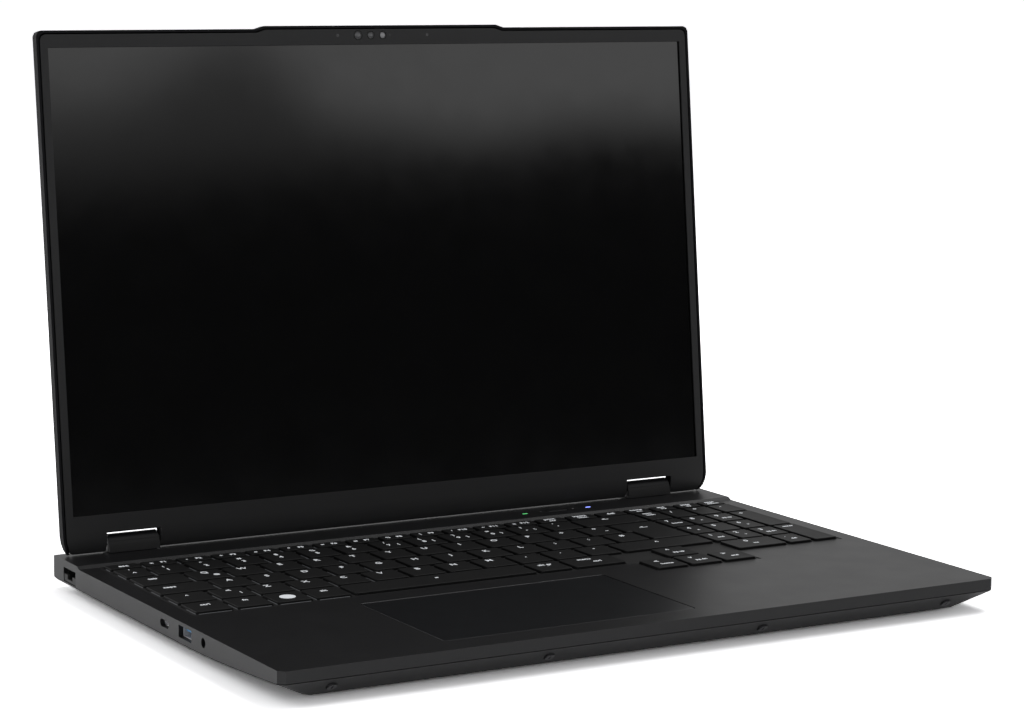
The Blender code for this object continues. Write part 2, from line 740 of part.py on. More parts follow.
def enter_outline(inset):
    """The tall enter key, whose upper half is wider than its lower half."""
    upper_left = KEYS_LEFT + FIRST_KEY_WIDTHS[3] + LETTER_KEYS * KEY_PITCH
    lower_left = KEYS_LEFT + FIRST_KEY_WIDTHS[2] + LETTER_KEYS * KEY_PITCH
    right = NUMPAD_LEFT - KEY_GAP / 2 - inset
    front = row_front(2) + KEY_GAP / 2 + inset
    back = row_front(4) - KEY_GAP / 2 - inset
    step = row_front(3) + KEY_GAP / 2 + inset
    left = upper_left + KEY_GAP / 2 + inset
    inner = lower_left + KEY_GAP / 2 + inset
    return [(inner, front), (right, front), (right, back), (left, back), (left, step), (inner, step)]


def key_outline(cell, inset):
    left, right, front, back = cell
    half = KEY_GAP / 2 + inset
    return rounded_outline(left + half, right - half, front + half, back - half, KEY_CORNER, steps=1)


def add_key(bm, outline_at, bottom):
    """A keycap with a chamfered top edge."""
    levels = ((0, bottom), (0, KEY_TOP - 0.0004), (0.0003, KEY_TOP))
    loft(bm, [[(x, y, z) for x, y in outline_at(inset)] for inset, z in levels])


def build_key_group(name, cells, parent):
    """Keycaps on a thin web below the keyboard frame, which makes them one body."""
    left = min(c[0] for c in cells) + KEY_GAP
    right = max(c[1] for c in cells) - KEY_GAP
    front = min(c[2] for c in cells) + KEY_GAP
    back = max(c[3] for c in cells) - KEY_GAP
    centre = Vector(((left + right) / 2, (front + back) / 2, 0))
    if name == "space_bar":
        bm = bmesh.new()
        add_key(bm, lambda inset: key_outline(cells[0], inset), WEB_TOP)
        bm.transform(Matrix.Translation(-centre))
        return add_object(name, bm, MATERIALS["key"], parent, centre)
    web = bmesh.new()
    if name == "keys_arrows":
        up_left, up_right = cells[0][0] + KEY_GAP, cells[0][1] - KEY_GAP
        step = row_front(0) - KEY_GAP
        stem = [(left, front), (right, front), (right, step), (up_right, step), (up_right, back),
                (up_left, back), (up_left, step), (left, step)]
        loft(web, [[(x, y, z) for x, y in stem] for z in (WEB_BOTTOM, WEB_TOP)])
    else:
        add_box(web, (left, front, WEB_BOTTOM), (right, back, WEB_TOP))
    web.transform(Matrix.Translation(-centre))
    group = add_object(name, web, MATERIALS["key"], parent, centre)
    caps = bmesh.new()
    for cell in cells:
        add_key(caps, lambda inset, cell=cell: key_outline(cell, inset), (WEB_TOP + WEB_BOTTOM) / 2)
    unite(group, name + "_caps", caps, parent)
    return group


def build_enter_key(parent):
    bm = bmesh.new()
    add_key(bm, enter_outline, WEB_TOP)
    centre = Vector((0.0980, row_front(3), 0))
    bm.transform(Matrix.Translation(-centre))
    return add_object("enter_key", bm, MATERIALS["key"], parent, centre)


def well_outline(inset):
    """Opening of the deck around the keys and the lower arrow keys."""
    left = KEYS_LEFT - WELL_MARGIN + inset
    right = NUMPAD_LEFT + 4 * NUMPAD_PITCH + WELL_MARGIN - inset
    front = KEYS_FRONT - WELL_MARGIN + inset
    back = row_front(5) + TOP_ROW_PITCH + WELL_MARGIN - inset
    step_left = ARROWS_LEFT - WELL_MARGIN + inset
    step_right = ARROWS_LEFT + 3 * KEY_PITCH + WELL_MARGIN - inset
    step_front = row_front(-1) - WELL_MARGIN + inset
    return [(left, front), (step_left, front), (step_left, step_front), (step_right, step_front),
            (step_right, front), (right, front), (right, back), (left, back)]


def build_keyboard(parent):
    groups = key_groups()
    plate = prism_z(well_outline(0.0004), FRAME_BOTTOM, FRAME_TOP)
    frame = add_object("keyboard_frame", plate, MATERIALS["frame"], parent)
    holes = bmesh.new()
    for cells in groups.values():
        for cell in cells:
            outline = key_outline(cell, -KEY_HOLE_CLEARANCE)
            loft(holes, [[(x, y, z) for x, y in outline] for z in (-0.006, 0.006)])
    loft(holes, [[(x, y, z) for x, y in enter_outline(-KEY_HOLE_CLEARANCE)] for z in (-0.006, 0.006)])
    cut(frame, "key_holes", holes, parent)
    backplate = prism_z(well_outline(0.0010), BACKPLATE_BOTTOM, BACKPLATE_TOP)
    add_object("keyboard_backplate", backplate, MATERIALS["steel"], parent)
    for name, cells in groups.items():
        build_key_group(name, cells, parent)
    build_enter_key(parent)


# Touchpad, power button and status lights


def button_outline(extra):
    half_x = BUTTON_HALF_WIDTH + extra
    half_y = BUTTON_HALF_DEPTH + extra
    return rounded_outline(BUTTON_X - half_x, BUTTON_X + half_x, BUTTON_Y - half_y, BUTTON_Y + half_y,
                           0.0015)


def build_controls(parent):
    half_x, half_y = TOUCHPAD_WIDTH / 2, TOUCHPAD_DEPTH / 2
    pad = prism_z(rounded_outline(-half_x, half_x, -half_y, half_y, 0.0012), -0.0022, -0.0001)
    add_object("touchpad", pad, MATERIALS["touchpad"], parent, (TOUCHPAD_X, TOUCHPAD_Y, 0))
    outline = [(x - BUTTON_X, y - BUTTON_Y) for x, y in button_outline(0)]
    button = add_object("power_button", prism_z(outline, -0.0022, 0.0), MATERIALS["deck"], parent,
                        (BUTTON_X, BUTTON_Y, RIDGE_HEIGHT + 0.0002))
    bevel(button, 0.0002)
    half_x, half_y = STATUS_LIGHT_HALF
    for name, x in zip(("power_light", "charge_light"), STATUS_LIGHT_XS):
        box_object(name, (x - half_x, BUTTON_Y - half_y, -0.0016),
                   (x + half_x, BUTTON_Y + half_y, RIDGE_HEIGHT), MATERIALS[name], parent)


# Sockets in the side and rear walls


def wall_frame(wall, along):
    """Matrix whose +Z points out through a wall, with X along the wall and Y up."""
    half = BASE_WIDTH / 2
    if wall == "left":
        rotation = Matrix(((0, 0, -1, 0), (-1, 0, 0, 0), (0, 1, 0, 0), (0, 0, 0, 1)))
        return Matrix.Translation((-half, along, 0)) @ rotation
    if wall == "right":
        rotation = Matrix(((0, 0, 1, 0), (1, 0, 0, 0), (0, 1, 0, 0), (0, 0, 0, 1)))
        return Matrix.Translation((half, along, 0)) @ rotation
    rotation = Matrix(((-1, 0, 0, 0), (0, 0, 1, 0), (0, 1, 0, 0), (0, 0, 0, 1)))
    return Matrix.Translation((along, BASE_DEPTH, 0)) @ rotation


def port_outline(name, width, height, extra=0.0):
    """Opening of a port, centred: round for audio, stadium for the small one, else a rectangle."""
    half_x, half_y = width / 2 + extra, height / 2 + extra
    if name == "audio_jack":
        return [(x, y) for x, y, _z in circle_points(half_x, 0, 20)]
    if name == "usb_c_port":
        return rounded_outline(-half_x, half_x, -half_y, half_y, half_y * 0.98, steps=4)
    return [(-half_x, -half_y), (half_x, -half_y), (half_x, half_y), (-half_x, half_y)]


def port_prism(bm, port, outline, low, high):
    """The outline (x along the wall, y up) drawn out along the wall's outward direction."""
    frame = wall_frame(port.wall, port.along)
    loft(bm, [moved([(x, y + port.height, z) for x, y in outline], frame) for z in (low, high)])


def port_holes():
    """Openings through the walls, and the rear exhaust slots."""
    bm = bmesh.new()
    for name, port in PORTS.items():
        port_prism(bm, port, port_outline(name, port.width, port.tall), -0.0035, 0.003)
    for side in (-1, 1):
        for i in range(EXHAUST_SLOTS):
            x = side * (0.085 + EXHAUST_PITCH * i)
            add_box(bm, (x - 0.0021, BASE_DEPTH - 0.004, -0.0062), (x + 0.0021, BASE_DEPTH + 0.002, -0.0020))
    return bm


def tongue_outline(name, port):
    """The flat tongue in the middle of a socket: thick in the large one, thin in the others."""
    half = port.width * 0.36
    low, thickness = (port.tall * 0.02, 0.0015) if name.startswith("usb_a") else (-0.00035, 0.0007)
    return [(-half, low), (half, low), (half, low + thickness), (-half, low + thickness)]


def build_ports(parent):
    for name, port in PORTS.items():
        front, back = -WALL - GAP, -WALL - port.depth
        body = bmesh.new()
        port_prism(body, port, port_outline(name, port.width, port.tall, -0.0001), back, front)
        socket = add_object(name, body, MATERIALS["steel"], parent)
        mouth = bmesh.new()
        inner = port_outline(name, port.width, port.tall, -0.0001 - PORT_SHELL)
        port_prism(mouth, port, inner, back + 0.002, front + 0.002)
        cut(socket, name + "_mouth", mouth, parent)
        if name not in ("audio_jack", "network_port"):
            tongue = bmesh.new()
            port_prism(tongue, port, tongue_outline(name, port), back + 0.001, front - 0.001)
            unite(socket, name + "_tongue", tongue, parent)
    build_network_jaw(parent)


def build_network_jaw(parent):
    """The lower jaw of the network port: it tips outward to make room for a plug."""
    port = PORTS["network_port"]
    half = port.width / 2 - 0.0003
    notch = 0.0030
    low, notch_floor, high = 0.0003, 0.0016, 0.0036
    outline = [(-half, low), (half, low), (half, high), (notch, high), (notch, notch_floor),
               (-notch, notch_floor), (-notch, high), (-half, high)]
    place = (-BASE_WIDTH / 2 + 0.0009, port.along, port.height - port.tall / 2)
    add_object("network_port_jaw", prism_x(outline, -0.0007, 0.0007), MATERIALS["deck"], parent, place)


# Inside the base


def build_fan(side, parent):
    """A blower: a flat housing open below and at the back, its rotor and its fin stack."""
    cx, cy = FAN_CENTRES[side]
    sign = -1 if side == "left" else 1
    shell = [(-0.0340, -0.0300), (0.0340, -0.0300), (0.0340, 0.0400), (-0.0340, 0.0400)]
    housing = add_object(f"fan_housing_{side}", prism_z(shell, FAN_BOTTOM, FAN_TOP), MATERIALS["plastic"],
                         parent, (cx, cy, 0))
    low, high = FAN_BOTTOM + FAN_SKIN, FAN_TOP - FAN_SKIN
    cavity = cylinder_bmesh(FAN_CAVITY_RADIUS, low, high, centre=(cx, cy, 0), sides=32)
    cut(housing, f"fan_cavity_{side}", cavity, parent)
    duct = box_bmesh((cx - 0.0280, cy, low), (cx + 0.0280, cy + 0.0450, high))
    cut(housing, f"fan_duct_{side}", duct, parent)
    intake = cylinder_bmesh(FAN_INTAKE_RADIUS, FAN_BOTTOM - 0.0018, FAN_BOTTOM + 0.0012,
                            centre=(cx, cy, 0), sides=32)
    cut(housing, f"fan_intake_{side}", intake, parent)
    hub = cylinder_bmesh(ROTOR_HUB_RADIUS, ROTOR_BOTTOM, ROTOR_TOP, sides=24)
    rotor = add_object(f"fan_rotor_{side}", hub, MATERIALS["plastic"], parent, (cx, cy, 0))
    unite(rotor, f"fan_blades_{side}", rotor_blades(cx, cy, sign), parent)
    fins = comb_outline(cx - 0.0330, cx + 0.0330, -0.0108, -0.0100, -0.0060, SINK_FINS)
    add_object(f"heat_sink_{side}", prism_y(fins, *SINK_Y), MATERIALS["copper"], parent)


def rotor_blades(cx, cy, sign):
    """Swept blades, each a thin upright plate from the hub outwards."""
    root, sweep = ROTOR_HUB_RADIUS - 0.0005, sign * BLADE_SWEEP
    outline = [(root, -0.0004), (ROTOR_RADIUS, sweep - 0.0002), (ROTOR_RADIUS, sweep + 0.0002),
               (root, 0.0004)]
    blades = bmesh.new()
    for i in range(ROTOR_BLADES):
        points = [turned(x, y, 2 * math.pi * i / ROTOR_BLADES) for x, y in outline]
        levels = (ROTOR_BOTTOM + 0.0002, ROTOR_TOP - 0.0002)
        loft(blades, [[(cx + x, cy + y, z) for x, y in points] for z in levels])
    return blades


def comb_outline(left, right, low, floor, high, count):
    """A comb (x, z): a strip with upright fins."""
    pitch = (right - left) / count
    fin = pitch * 0.3
    points = [(left, low), (right, low)]
    for i in reversed(range(count)):
        x = left + i * pitch + pitch * 0.35
        points += [(x + fin, floor), (x + fin, high), (x, high), (x, floor)]
    return [points[0], points[1], (right, floor)] + points[2:] + [(left, floor)]


def build_heat_pipe(parent):
    """A flat pipe from fin stack to fin stack, over the processor and the graphics chip."""
    y_back, y_front = 0.2215, 0.1500
    left_half = [(-0.1200, y_back), (-0.0660, y_back), (-0.0560, y_front + 0.03), (-0.0420, y_front)]
    path = left_half + [(-x, y) for x, y in reversed(left_half)]
    half = 0.0030
    left, right = [], []
    for i, (x, y) in enumerate(path):
        before = Vector(path[max(i - 1, 0)])
        after = Vector(path[min(i + 1, len(path) - 1)])
        along = (after - before).normalized()
        left.append((x - along.y * half, y + along.x * half))
        right.append((x + along.y * half, y - along.x * half))
    add_object("heat_pipe", prism_z(right + left[::-1], -0.0121, -0.0111), MATERIALS["copper"], parent)


def build_electronics(parent):
    board = [(-0.0700, 0.1100), (0.0700, 0.1100), (0.0700, 0.2050), (0.0560, 0.2050),
             (0.0560, 0.2260), (-0.0560, 0.2260), (-0.0560, 0.2050), (-0.0700, 0.2050)]
    mainboard = add_object("mainboard", prism_z(board, BOARD_BOTTOM, BOARD_TOP), MATERIALS["board"], parent)
    chips = bmesh.new()
    for x, y, half in ((-0.0250, 0.1500, 0.0140), (0.0280, 0.1500, 0.0150)):
        add_box(chips, (x - half, y - half, -0.0106), (x + half, y + half, -0.0060))
    for i in range(6):
        add_box(chips, (-0.0500 + 0.018 * i, 0.1760, -0.0080), (-0.0400 + 0.018 * i, 0.1860, -0.0060))
    unite(mainboard, "board_chips", chips, parent)
    add_object("battery_pack", prism_y(battery_outline(), 0.0160, 0.0980), MATERIALS["battery"], parent)
    cards = {
        "solid_state_drive": ((-0.0600, 0.1120, -0.0095), (0.0200, 0.1340, -0.0072)),
        "memory_module": ((-0.0300, 0.1900, -0.0096), (0.0380, 0.2200, -0.0072)),
        "wireless_card": ((0.0300, 0.1120, -0.0092), (0.0520, 0.1340, -0.0072)),
    }
    for name, (low, high) in cards.items():
        box_object(name, low, high, MATERIALS["board"], parent)
    for side, sign in (("left", -1), ("right", 1)):
        inner, outer = sorted((sign * 0.1340, sign * 0.1570))
        speaker = box_object(f"speaker_{side}", (inner, 0.0480, -0.0090), (outer, 0.0840, -0.0030),
                             MATERIALS["plastic"], parent)
        bevel(speaker, 0.0012)


def battery_outline():
    """Front elevation (x, z) of the pack: a flat block whose cells show as low ridges."""
    points = [(-BATTERY_HALF_WIDTH, BATTERY_BOTTOM), (-BATTERY_HALF_WIDTH, BATTERY_TOP)]
    pitch = 2 * BATTERY_HALF_WIDTH / BATTERY_CELLS
    crown = BATTERY_TOP + 0.0002
    for i in range(BATTERY_CELLS):
        x = -BATTERY_HALF_WIDTH + i * pitch
        points += [(x + 0.0008, crown), (x + pitch - 0.0008, crown), (x + pitch, BATTERY_TOP)]
    return points + [(BATTERY_HALF_WIDTH, BATTERY_BOTTOM)]


def make_materials():
    black = (0.010, 0.010, 0.012)
    table = {
        "deck": ((0.016, 0.016, 0.018), 0.45, 0.3),
        "cover": (black, 0.5, 0.2),
        "lid": ((0.016, 0.016, 0.019), 0.4, 0.4),
        "knuckle": (black, 0.5, 0.4),
        "bezel": ((0.013, 0.013, 0.014), 0.55, 0.0),
        "screen": ((0.004, 0.004, 0.004), 0.25, 0.0),
        "lens": ((0.05, 0.05, 0.05), 0.05, 0.0),
        "shutter": (black, 0.4, 0.0),
        "key": ((0.008, 0.008, 0.009), 0.5, 0.0),
        "frame": ((0.010, 0.010, 0.011), 0.5, 0.0),
        "touchpad": ((0.012, 0.013, 0.015), 0.35, 0.0),
        "power_light": ((0.1, 0.9, 0.2), 0.3, 0.0),
        "charge_light": ((0.1, 0.2, 1.0), 0.3, 0.0),
        "rubber": ((0.012, 0.012, 0.012), 0.85, 0.0),
        "steel": ((0.55, 0.55, 0.56), 0.35, 1.0),
        "copper": ((0.72, 0.36, 0.2), 0.35, 1.0),
        "board": ((0.01, 0.06, 0.03), 0.5, 0.0),
        "plastic": ((0.02, 0.02, 0.02), 0.55, 0.0),
        "battery": ((0.03, 0.03, 0.035), 0.5, 0.0),
        "cutter": ((1.0, 0.2, 0.2), 0.5, 0.0),
    }
    return {name: make_material(name, *values) for name, values in table.items()}


def build_base(parent):
    build_top_deck(parent)
    build_bottom_cover(parent)
    build_screws(parent)
    build_feet(parent)
    build_hinge_base("hinge_base_left", -1, parent)
    build_hinge_base("hinge_base_right", 1, parent)
    build_keyboard(parent)
    build_controls(parent)
    build_ports(parent)
    for side in FAN_CENTRES:
        build_fan(side, parent)
    build_heat_pipe(parent)
    build_electronics(parent)


def add_empty(name, parent, location):
    empty = bpy.data.objects.new(name, None)
    empty.location = location
    empty.parent = parent
    bpy.context.scene.collection.objects.link(empty)
    return empty


clear_scene()
MATERIALS = make_materials()
base_origin = add_empty("base_origin", None, (0, -LENGTH_OVERALL / 2, DECK_HEIGHT))
lid_origin = add_empty("lid_origin", base_origin, (0, HINGE_Y, HINGE_Z))
lid_origin.rotation_euler.x = -LID_LEAN
build_base(base_origin)
build_lid(lid_origin)
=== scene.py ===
"""The looks of an open laptop computer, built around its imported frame.

Lengths are in metres and +Z is up. The base's pieces are drawn from the front edge of the deck and the
deck's surface, and the lid's pieces from the hinge axis with the lid's height along local Z. Each piece
ends with its place in its mesh, so that its object sits at the origin and rides on its body.
"""

import json
import logging
import math
from collections.abc import Iterable, Sequence
from dataclasses import dataclass
from enum import Enum

import bmesh
import bpy
from mathutils import Matrix, Vector


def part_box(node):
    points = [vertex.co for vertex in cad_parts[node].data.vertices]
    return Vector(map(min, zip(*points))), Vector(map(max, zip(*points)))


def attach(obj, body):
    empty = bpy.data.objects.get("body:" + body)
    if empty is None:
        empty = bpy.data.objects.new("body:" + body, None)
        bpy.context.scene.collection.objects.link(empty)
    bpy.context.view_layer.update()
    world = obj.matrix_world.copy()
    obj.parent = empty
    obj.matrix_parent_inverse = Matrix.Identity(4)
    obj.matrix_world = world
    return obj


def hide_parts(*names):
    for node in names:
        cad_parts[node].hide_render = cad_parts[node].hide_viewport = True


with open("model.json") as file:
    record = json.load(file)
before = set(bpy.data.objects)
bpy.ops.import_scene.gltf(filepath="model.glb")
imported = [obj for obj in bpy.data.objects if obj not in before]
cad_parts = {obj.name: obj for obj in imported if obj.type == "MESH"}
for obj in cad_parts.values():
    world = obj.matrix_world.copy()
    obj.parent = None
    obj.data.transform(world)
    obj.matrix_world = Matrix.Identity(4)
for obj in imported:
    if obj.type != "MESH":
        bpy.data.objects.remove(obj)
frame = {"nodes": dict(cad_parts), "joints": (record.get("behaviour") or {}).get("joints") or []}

logging.basicConfig(level=logging.INFO, format="%(message)s")
LOG = logging.getLogger("laptop")

Point = tuple[float, float, float]
Outline = list[tuple[float, float]]
Piece = bpy.types.Object
NodeTree = bpy.types.NodeTree
Socket = bpy.types.NodeSocket

MM = 0.001
MERGE_DISTANCE = 0.000002
FLAT_ANGLE = 0.4
SHARP_ANGLE = 38.0
GROWN_SHARP_ANGLE = 30.0
FLATTENING_WEIGHT = 80

FINE_SHARE = 0.4
WEAR_NOISE_SCALE = 450.0
WEAR_GAIN = 4.0
DUST_NOISE_SCALE = 160.0
DUST_COLOR = (0.30, 0.29, 0.28, 1.0)
DUST_ROUGHENING = 0.6
ROUGHNESS_SPREAD = 0.12


# Finishes


class GroupName(Enum):
    """The shader node groups that several finishes share."""

    GRAIN = "surface_grain"
    WEAR = "edge_wear"
    DUST = "settled_dust"


def wire(tree: NodeTree, value: object, socket: Socket) -> None:
    """Links an output to an input, or sets the input to a plain value.

    Args:
        tree: The tree that holds the input.
        value: A socket, or the value.
        socket: The input.
    """
    if isinstance(value, bpy.types.NodeSocket):
        tree.links.new(value, socket)
    else:
        socket.default_value = value


def add_node(tree: NodeTree, kind: str, **inputs: object) -> bpy.types.Node:
    """Adds a node and links or sets its inputs.

    Args:
        tree: The tree to add it to.
        kind: Blender's name of the node.
        inputs: A socket or a value for each input, by name with _ for a space.

    Returns:
        The node.
    """
    node = tree.nodes.new(kind)
    for label, value in inputs.items():
        wire(tree, value, node.inputs[label.replace("_", " ")])
    return node


def math_node(tree: NodeTree, operation: str, first: object, second: object, clamp: bool = False) -> Socket:
    """Adds a Math node.

    Args:
        tree: The tree to add it to.
        operation: Blender's name of the operation.
        first: A socket or a number.
        second: A socket or a number.
        clamp: Whether the result is kept between 0 and 1.

    Returns:
        The node's result.
    """
    node = tree.nodes.new("ShaderNodeMath")
    node.operation = operation
    node.use_clamp = clamp
    wire(tree, first, node.inputs[0])
    wire(tree, second, node.inputs[1])
    return node.outputs[0]


def dot_product(tree: NodeTree, first: Socket, second: object) -> Socket:
    """Adds the dot product of two vectors.

    Args:
        tree: The tree to add it to.
        first: A socket.
        second: A socket or a vector.

    Returns:
        The product.
    """
    node = tree.nodes.new("ShaderNodeVectorMath")
    node.operation = "DOT_PRODUCT"
    wire(tree, first, node.inputs[0])
    wire(tree, second, node.inputs[1])
    return node.outputs["Value"]


def mix_color(tree: NodeTree, factor: Socket, first: object, second: object) -> Socket:
    """Adds a colour Mix node.

    Args:
        tree: The tree to add it to.
        factor: The share of the second colour.
        first: A socket, or a colour with alpha.
        second: A socket, or a colour with alpha.

    Returns:
        The mixed colour.
    """
    node = add_node(tree, "ShaderNodeMix", Factor=factor)
    node.data_type = "RGBA"
    slots = [s for s in node.inputs if s.type == "RGBA"]
    wire(tree, first, slots[0])
    wire(tree, second, slots[1])
    return next(s for s in node.outputs if s.type == "RGBA")


def noise(tree: NodeTree, scale: object, detail: float = 2.0) -> Socket:
    """Adds noise over Object coordinates.

    Args:
        tree: The tree to add it to.
        scale: A socket or a number.
        detail: How many finer layers it has.

    Returns:
        The noise, from 0 to 1.
    """
    place = tree.nodes.new("ShaderNodeTexCoord").outputs["Object"]
    return add_node(tree, "ShaderNodeTexNoise", Vector=place, Scale=scale, Detail=detail).outputs["Fac"]


def new_group(name: GroupName, inputs: dict[str, object], outputs: dict[str, str]) -> NodeTree:
    """Makes an empty shader node group with named sockets.

    Args:
        name: Which group to make.
        inputs: The starting number or colour of each input.
        outputs: The kind of each output, Float or Color.

    Returns:
        The node tree, with its Group Input and Group Output nodes in place.
    """
    tree = bpy.data.node_groups.new(name.value, "ShaderNodeTree")
    for label, value in inputs.items():
        kind = "NodeSocketFloat" if isinstance(value, float) else "NodeSocketColor"
        socket = tree.interface.new_socket(name=label, in_out="INPUT", socket_type=kind)
        socket.default_value = value
    for label, kind in outputs.items():
        tree.interface.new_socket(name=label, in_out="OUTPUT", socket_type="NodeSocket" + kind)
    tree.nodes.new("NodeGroupInput").name = "in"
    tree.nodes.new("NodeGroupOutput").name = "out"
    return tree


def build_grain_group() -> None:
    """Fine grain and slow mottling over a surface, read from Object coordinates."""
    tree = new_group(GroupName.GRAIN, {"Scale": 4000.0, "Mottle": 60.0},
                     {"Height": "Float", "Mottling": "Float"})
    source, out = tree.nodes["in"].outputs, tree.nodes["out"].inputs
    fine = noise(tree, source["Scale"])
    slow = noise(tree, source["Mottle"], 4.0)
    wire(tree, fine, out["Height"])
    mottling = math_node(tree, "ADD", math_node(tree, "MULTIPLY", fine, FINE_SHARE),
                         math_node(tree, "MULTIPLY", slow, 1.0 - FINE_SHARE))
    wire(tree, mottling, out["Mottling"])


def build_wear_group() -> None:
    """Lightens a colour along worn edges: where a rounded normal leaves the true one, broken by noise."""
    tree = new_group(
        GroupName.WEAR,
        {"Color": (0, 0, 0, 1), "Worn Color": (0.2, 0.2, 0.2, 1), "Radius": 0.0004, "Amount": 0.3},
        {"Color": "Color", "Mask": "Float"})
    source, out = tree.nodes["in"].outputs, tree.nodes["out"].inputs
    rounded = add_node(tree, "ShaderNodeBevel", Radius=source["Radius"])
    rounded.samples = 2
    geometry = tree.nodes.new("ShaderNodeNewGeometry")
    agreement = dot_product(tree, rounded.outputs["Normal"], geometry.outputs["Normal"])
    edge = math_node(tree, "MULTIPLY", math_node(tree, "SUBTRACT", 1.0, agreement), WEAR_GAIN, clamp=True)
    broken = math_node(tree, "MULTIPLY", edge, noise(tree, WEAR_NOISE_SCALE))
    mask = math_node(tree, "MULTIPLY", broken, source["Amount"], clamp=True)
    wire(tree, mix_color(tree, mask, source["Color"], source["Worn Color"]), out["Color"])
    wire(tree, mask, out["Mask"])


def build_dust_group() -> None:
    """A thin film of dust on faces that look up: a paler colour and a rougher surface."""
    tree = new_group(GroupName.DUST, {"Color": (0, 0, 0, 1), "Roughness": 0.5, "Amount": 0.1},
                     {"Color": "Color", "Roughness": "Float"})
    source, out = tree.nodes["in"].outputs, tree.nodes["out"].inputs
    geometry = tree.nodes.new("ShaderNodeNewGeometry")
    split = add_node(tree, "ShaderNodeSeparateXYZ", Vector=geometry.outputs["Normal"])
    upward = math_node(tree, "MAXIMUM", split.outputs["Z"], 0.0)
    settled_share = math_node(tree, "MULTIPLY", upward, noise(tree, DUST_NOISE_SCALE, 5.0))
    film = math_node(tree, "MULTIPLY", settled_share, source["Amount"], clamp=True)
    wire(tree, mix_color(tree, film, source["Color"], DUST_COLOR), out["Color"])
    rougher = math_node(tree, "ADD", source["Roughness"], math_node(tree, "MULTIPLY", film, DUST_ROUGHENING),
                        clamp=True)
    wire(tree, rougher, out["Roughness"])


@dataclass(frozen=True)
class Finish:
    """One surface finish, as the plain values of its shader and of the shared groups.

    Attributes:
        name: The material's name.
        color: Base colour.
        roughness: Mean roughness.
        metallic: 0 for paint and plastic, 1 for bare metal.
        mottling: How far the colour wanders to either side of the base colour, as a share of it.
        grain_scale: Grains per metre.
        grain_height: Height of the grain in metres.
        wear: How worn the edges are.
        worn_color: The colour that worn edges show.
        dust: How dusty the upward faces are.
        ior: Index of refraction.
        specular: The shader's specular level.
        glow: Emission strength.
        glow_color: Emission colour.
    """

    name: str
    color: tuple[float, float, float]
    roughness: float
    metallic: float = 0.0
    mottling: float = 0.15
    grain_scale: float = 4000.0
    grain_height: float = 0.00001
    wear: float = 0.25
    worn_color: tuple[float, float, float] = (0.06, 0.06, 0.065)
    dust: float = 0.006
    ior: float = 1.5
    specular: float = 0.5
    glow: float = 0.0
    glow_color: tuple[float, float, float] = (1.0, 1.0, 1.0)

    def build(self) -> bpy.types.Material:
        """Makes the material, unless it was made before.

        Returns:
            The material.
        """
        made = bpy.data.materials.get(self.name)
        if made is not None:
            return made
        material = bpy.data.materials.new(self.name)
        material.use_nodes = True
        tree = material.node_tree
        shader = tree.nodes["Principled BSDF"].inputs
        plain = {"Metallic": self.metallic, "IOR": self.ior, "Specular IOR Level": self.specular,
                 "Emission Strength": self.glow, "Emission Color": (*self.glow_color, 1.0)}
        for label, value in plain.items():
            shader[label].default_value = value
        grain = self._place(tree, GroupName.GRAIN, Scale=self.grain_scale)
        low, high = ((*(c * (1 + side * self.mottling) for c in self.color), 1.0) for side in (-1, 1))
        color = mix_color(tree, grain["Mottling"], low, high)
        offset = math_node(tree, "SUBTRACT", grain["Mottling"], 0.5)
        spread = math_node(tree, "MULTIPLY", offset, ROUGHNESS_SPREAD)
        rough = math_node(tree, "ADD", spread, self.roughness, clamp=True)
        if self.dust:
            dust = self._place(tree, GroupName.DUST, Color=color, Roughness=rough, Amount=self.dust)
            color, rough = dust["Color"], dust["Roughness"]
        if self.wear:
            worn = self._place(tree, GroupName.WEAR, Color=color, Worn_Color=(*self.worn_color, 1.0),
                               Amount=self.wear)
            color = worn["Color"]
        wire(tree, color, shader["Base Color"])
        wire(tree, rough, shader["Roughness"])
        bump = add_node(tree, "ShaderNodeBump", Distance=self.grain_height, Height=grain["Height"])
        wire(tree, bump.outputs["Normal"], shader["Normal"])
        return material

    def _place(self, tree: NodeTree, group: GroupName, **inputs: object) -> bpy.types.NodeOutputs:
        """Places a shared group in the material.

        Args:
            tree: The material's tree.
            group: Which group.
            inputs: A socket or a value for each input, by name with _ for a space.

        Returns:
            The group's outputs.
        """
        node = tree.nodes.new("ShaderNodeGroup")
        node.node_tree = bpy.data.node_groups[group.value]
        for label, value in inputs.items():
            wire(tree, value, node.inputs[label.replace("_", " ")])
        return node.outputs


DECK_PAINT = Finish("deck_paint", (0.0058, 0.0058, 0.0068), 0.43, wear=0.30, ior=1.45, dust=0.004)
COVER_PAINT = Finish("cover_paint", (0.0070, 0.0070, 0.0078), 0.46)
LID_PAINT = Finish("lid_paint", (0.0080, 0.0080, 0.0092), 0.52, wear=0.12, ior=1.40, specular=0.10)
BEZEL_PLASTIC = Finish("bezel_plastic", (0.0200, 0.0200, 0.0208), 0.56, grain_scale=2600.0,
                       grain_height=0.00002, specular=0.30)
SCREEN_GLASS = Finish("screen_glass", (0.0010, 0.0010, 0.0011), 0.115, mottling=0.05, grain_height=0.000002,
                      wear=0.0, dust=0.0)
LENS_GLASS = Finish("lens_glass", (0.27, 0.27, 0.28), 0.08, mottling=0.05, wear=0.0, dust=0.0)
SENSOR_GLASS = Finish("sensor_glass", (0.085, 0.085, 0.09), 0.12, mottling=0.05, wear=0.0, dust=0.0)
LENS_RING = Finish("lens_ring", (0.02, 0.02, 0.02), 0.3, dust=0.0)
SHUTTER_PLASTIC = Finish("shutter_plastic", (0.010, 0.010, 0.0115), 0.40)
KEY_PLASTIC = Finish("key_plastic", (0.0040, 0.0040, 0.0043), 0.58, ior=1.36, grain_scale=2400.0,
                     grain_height=0.000015, worn_color=(0.05, 0.05, 0.05), wear=0.3)
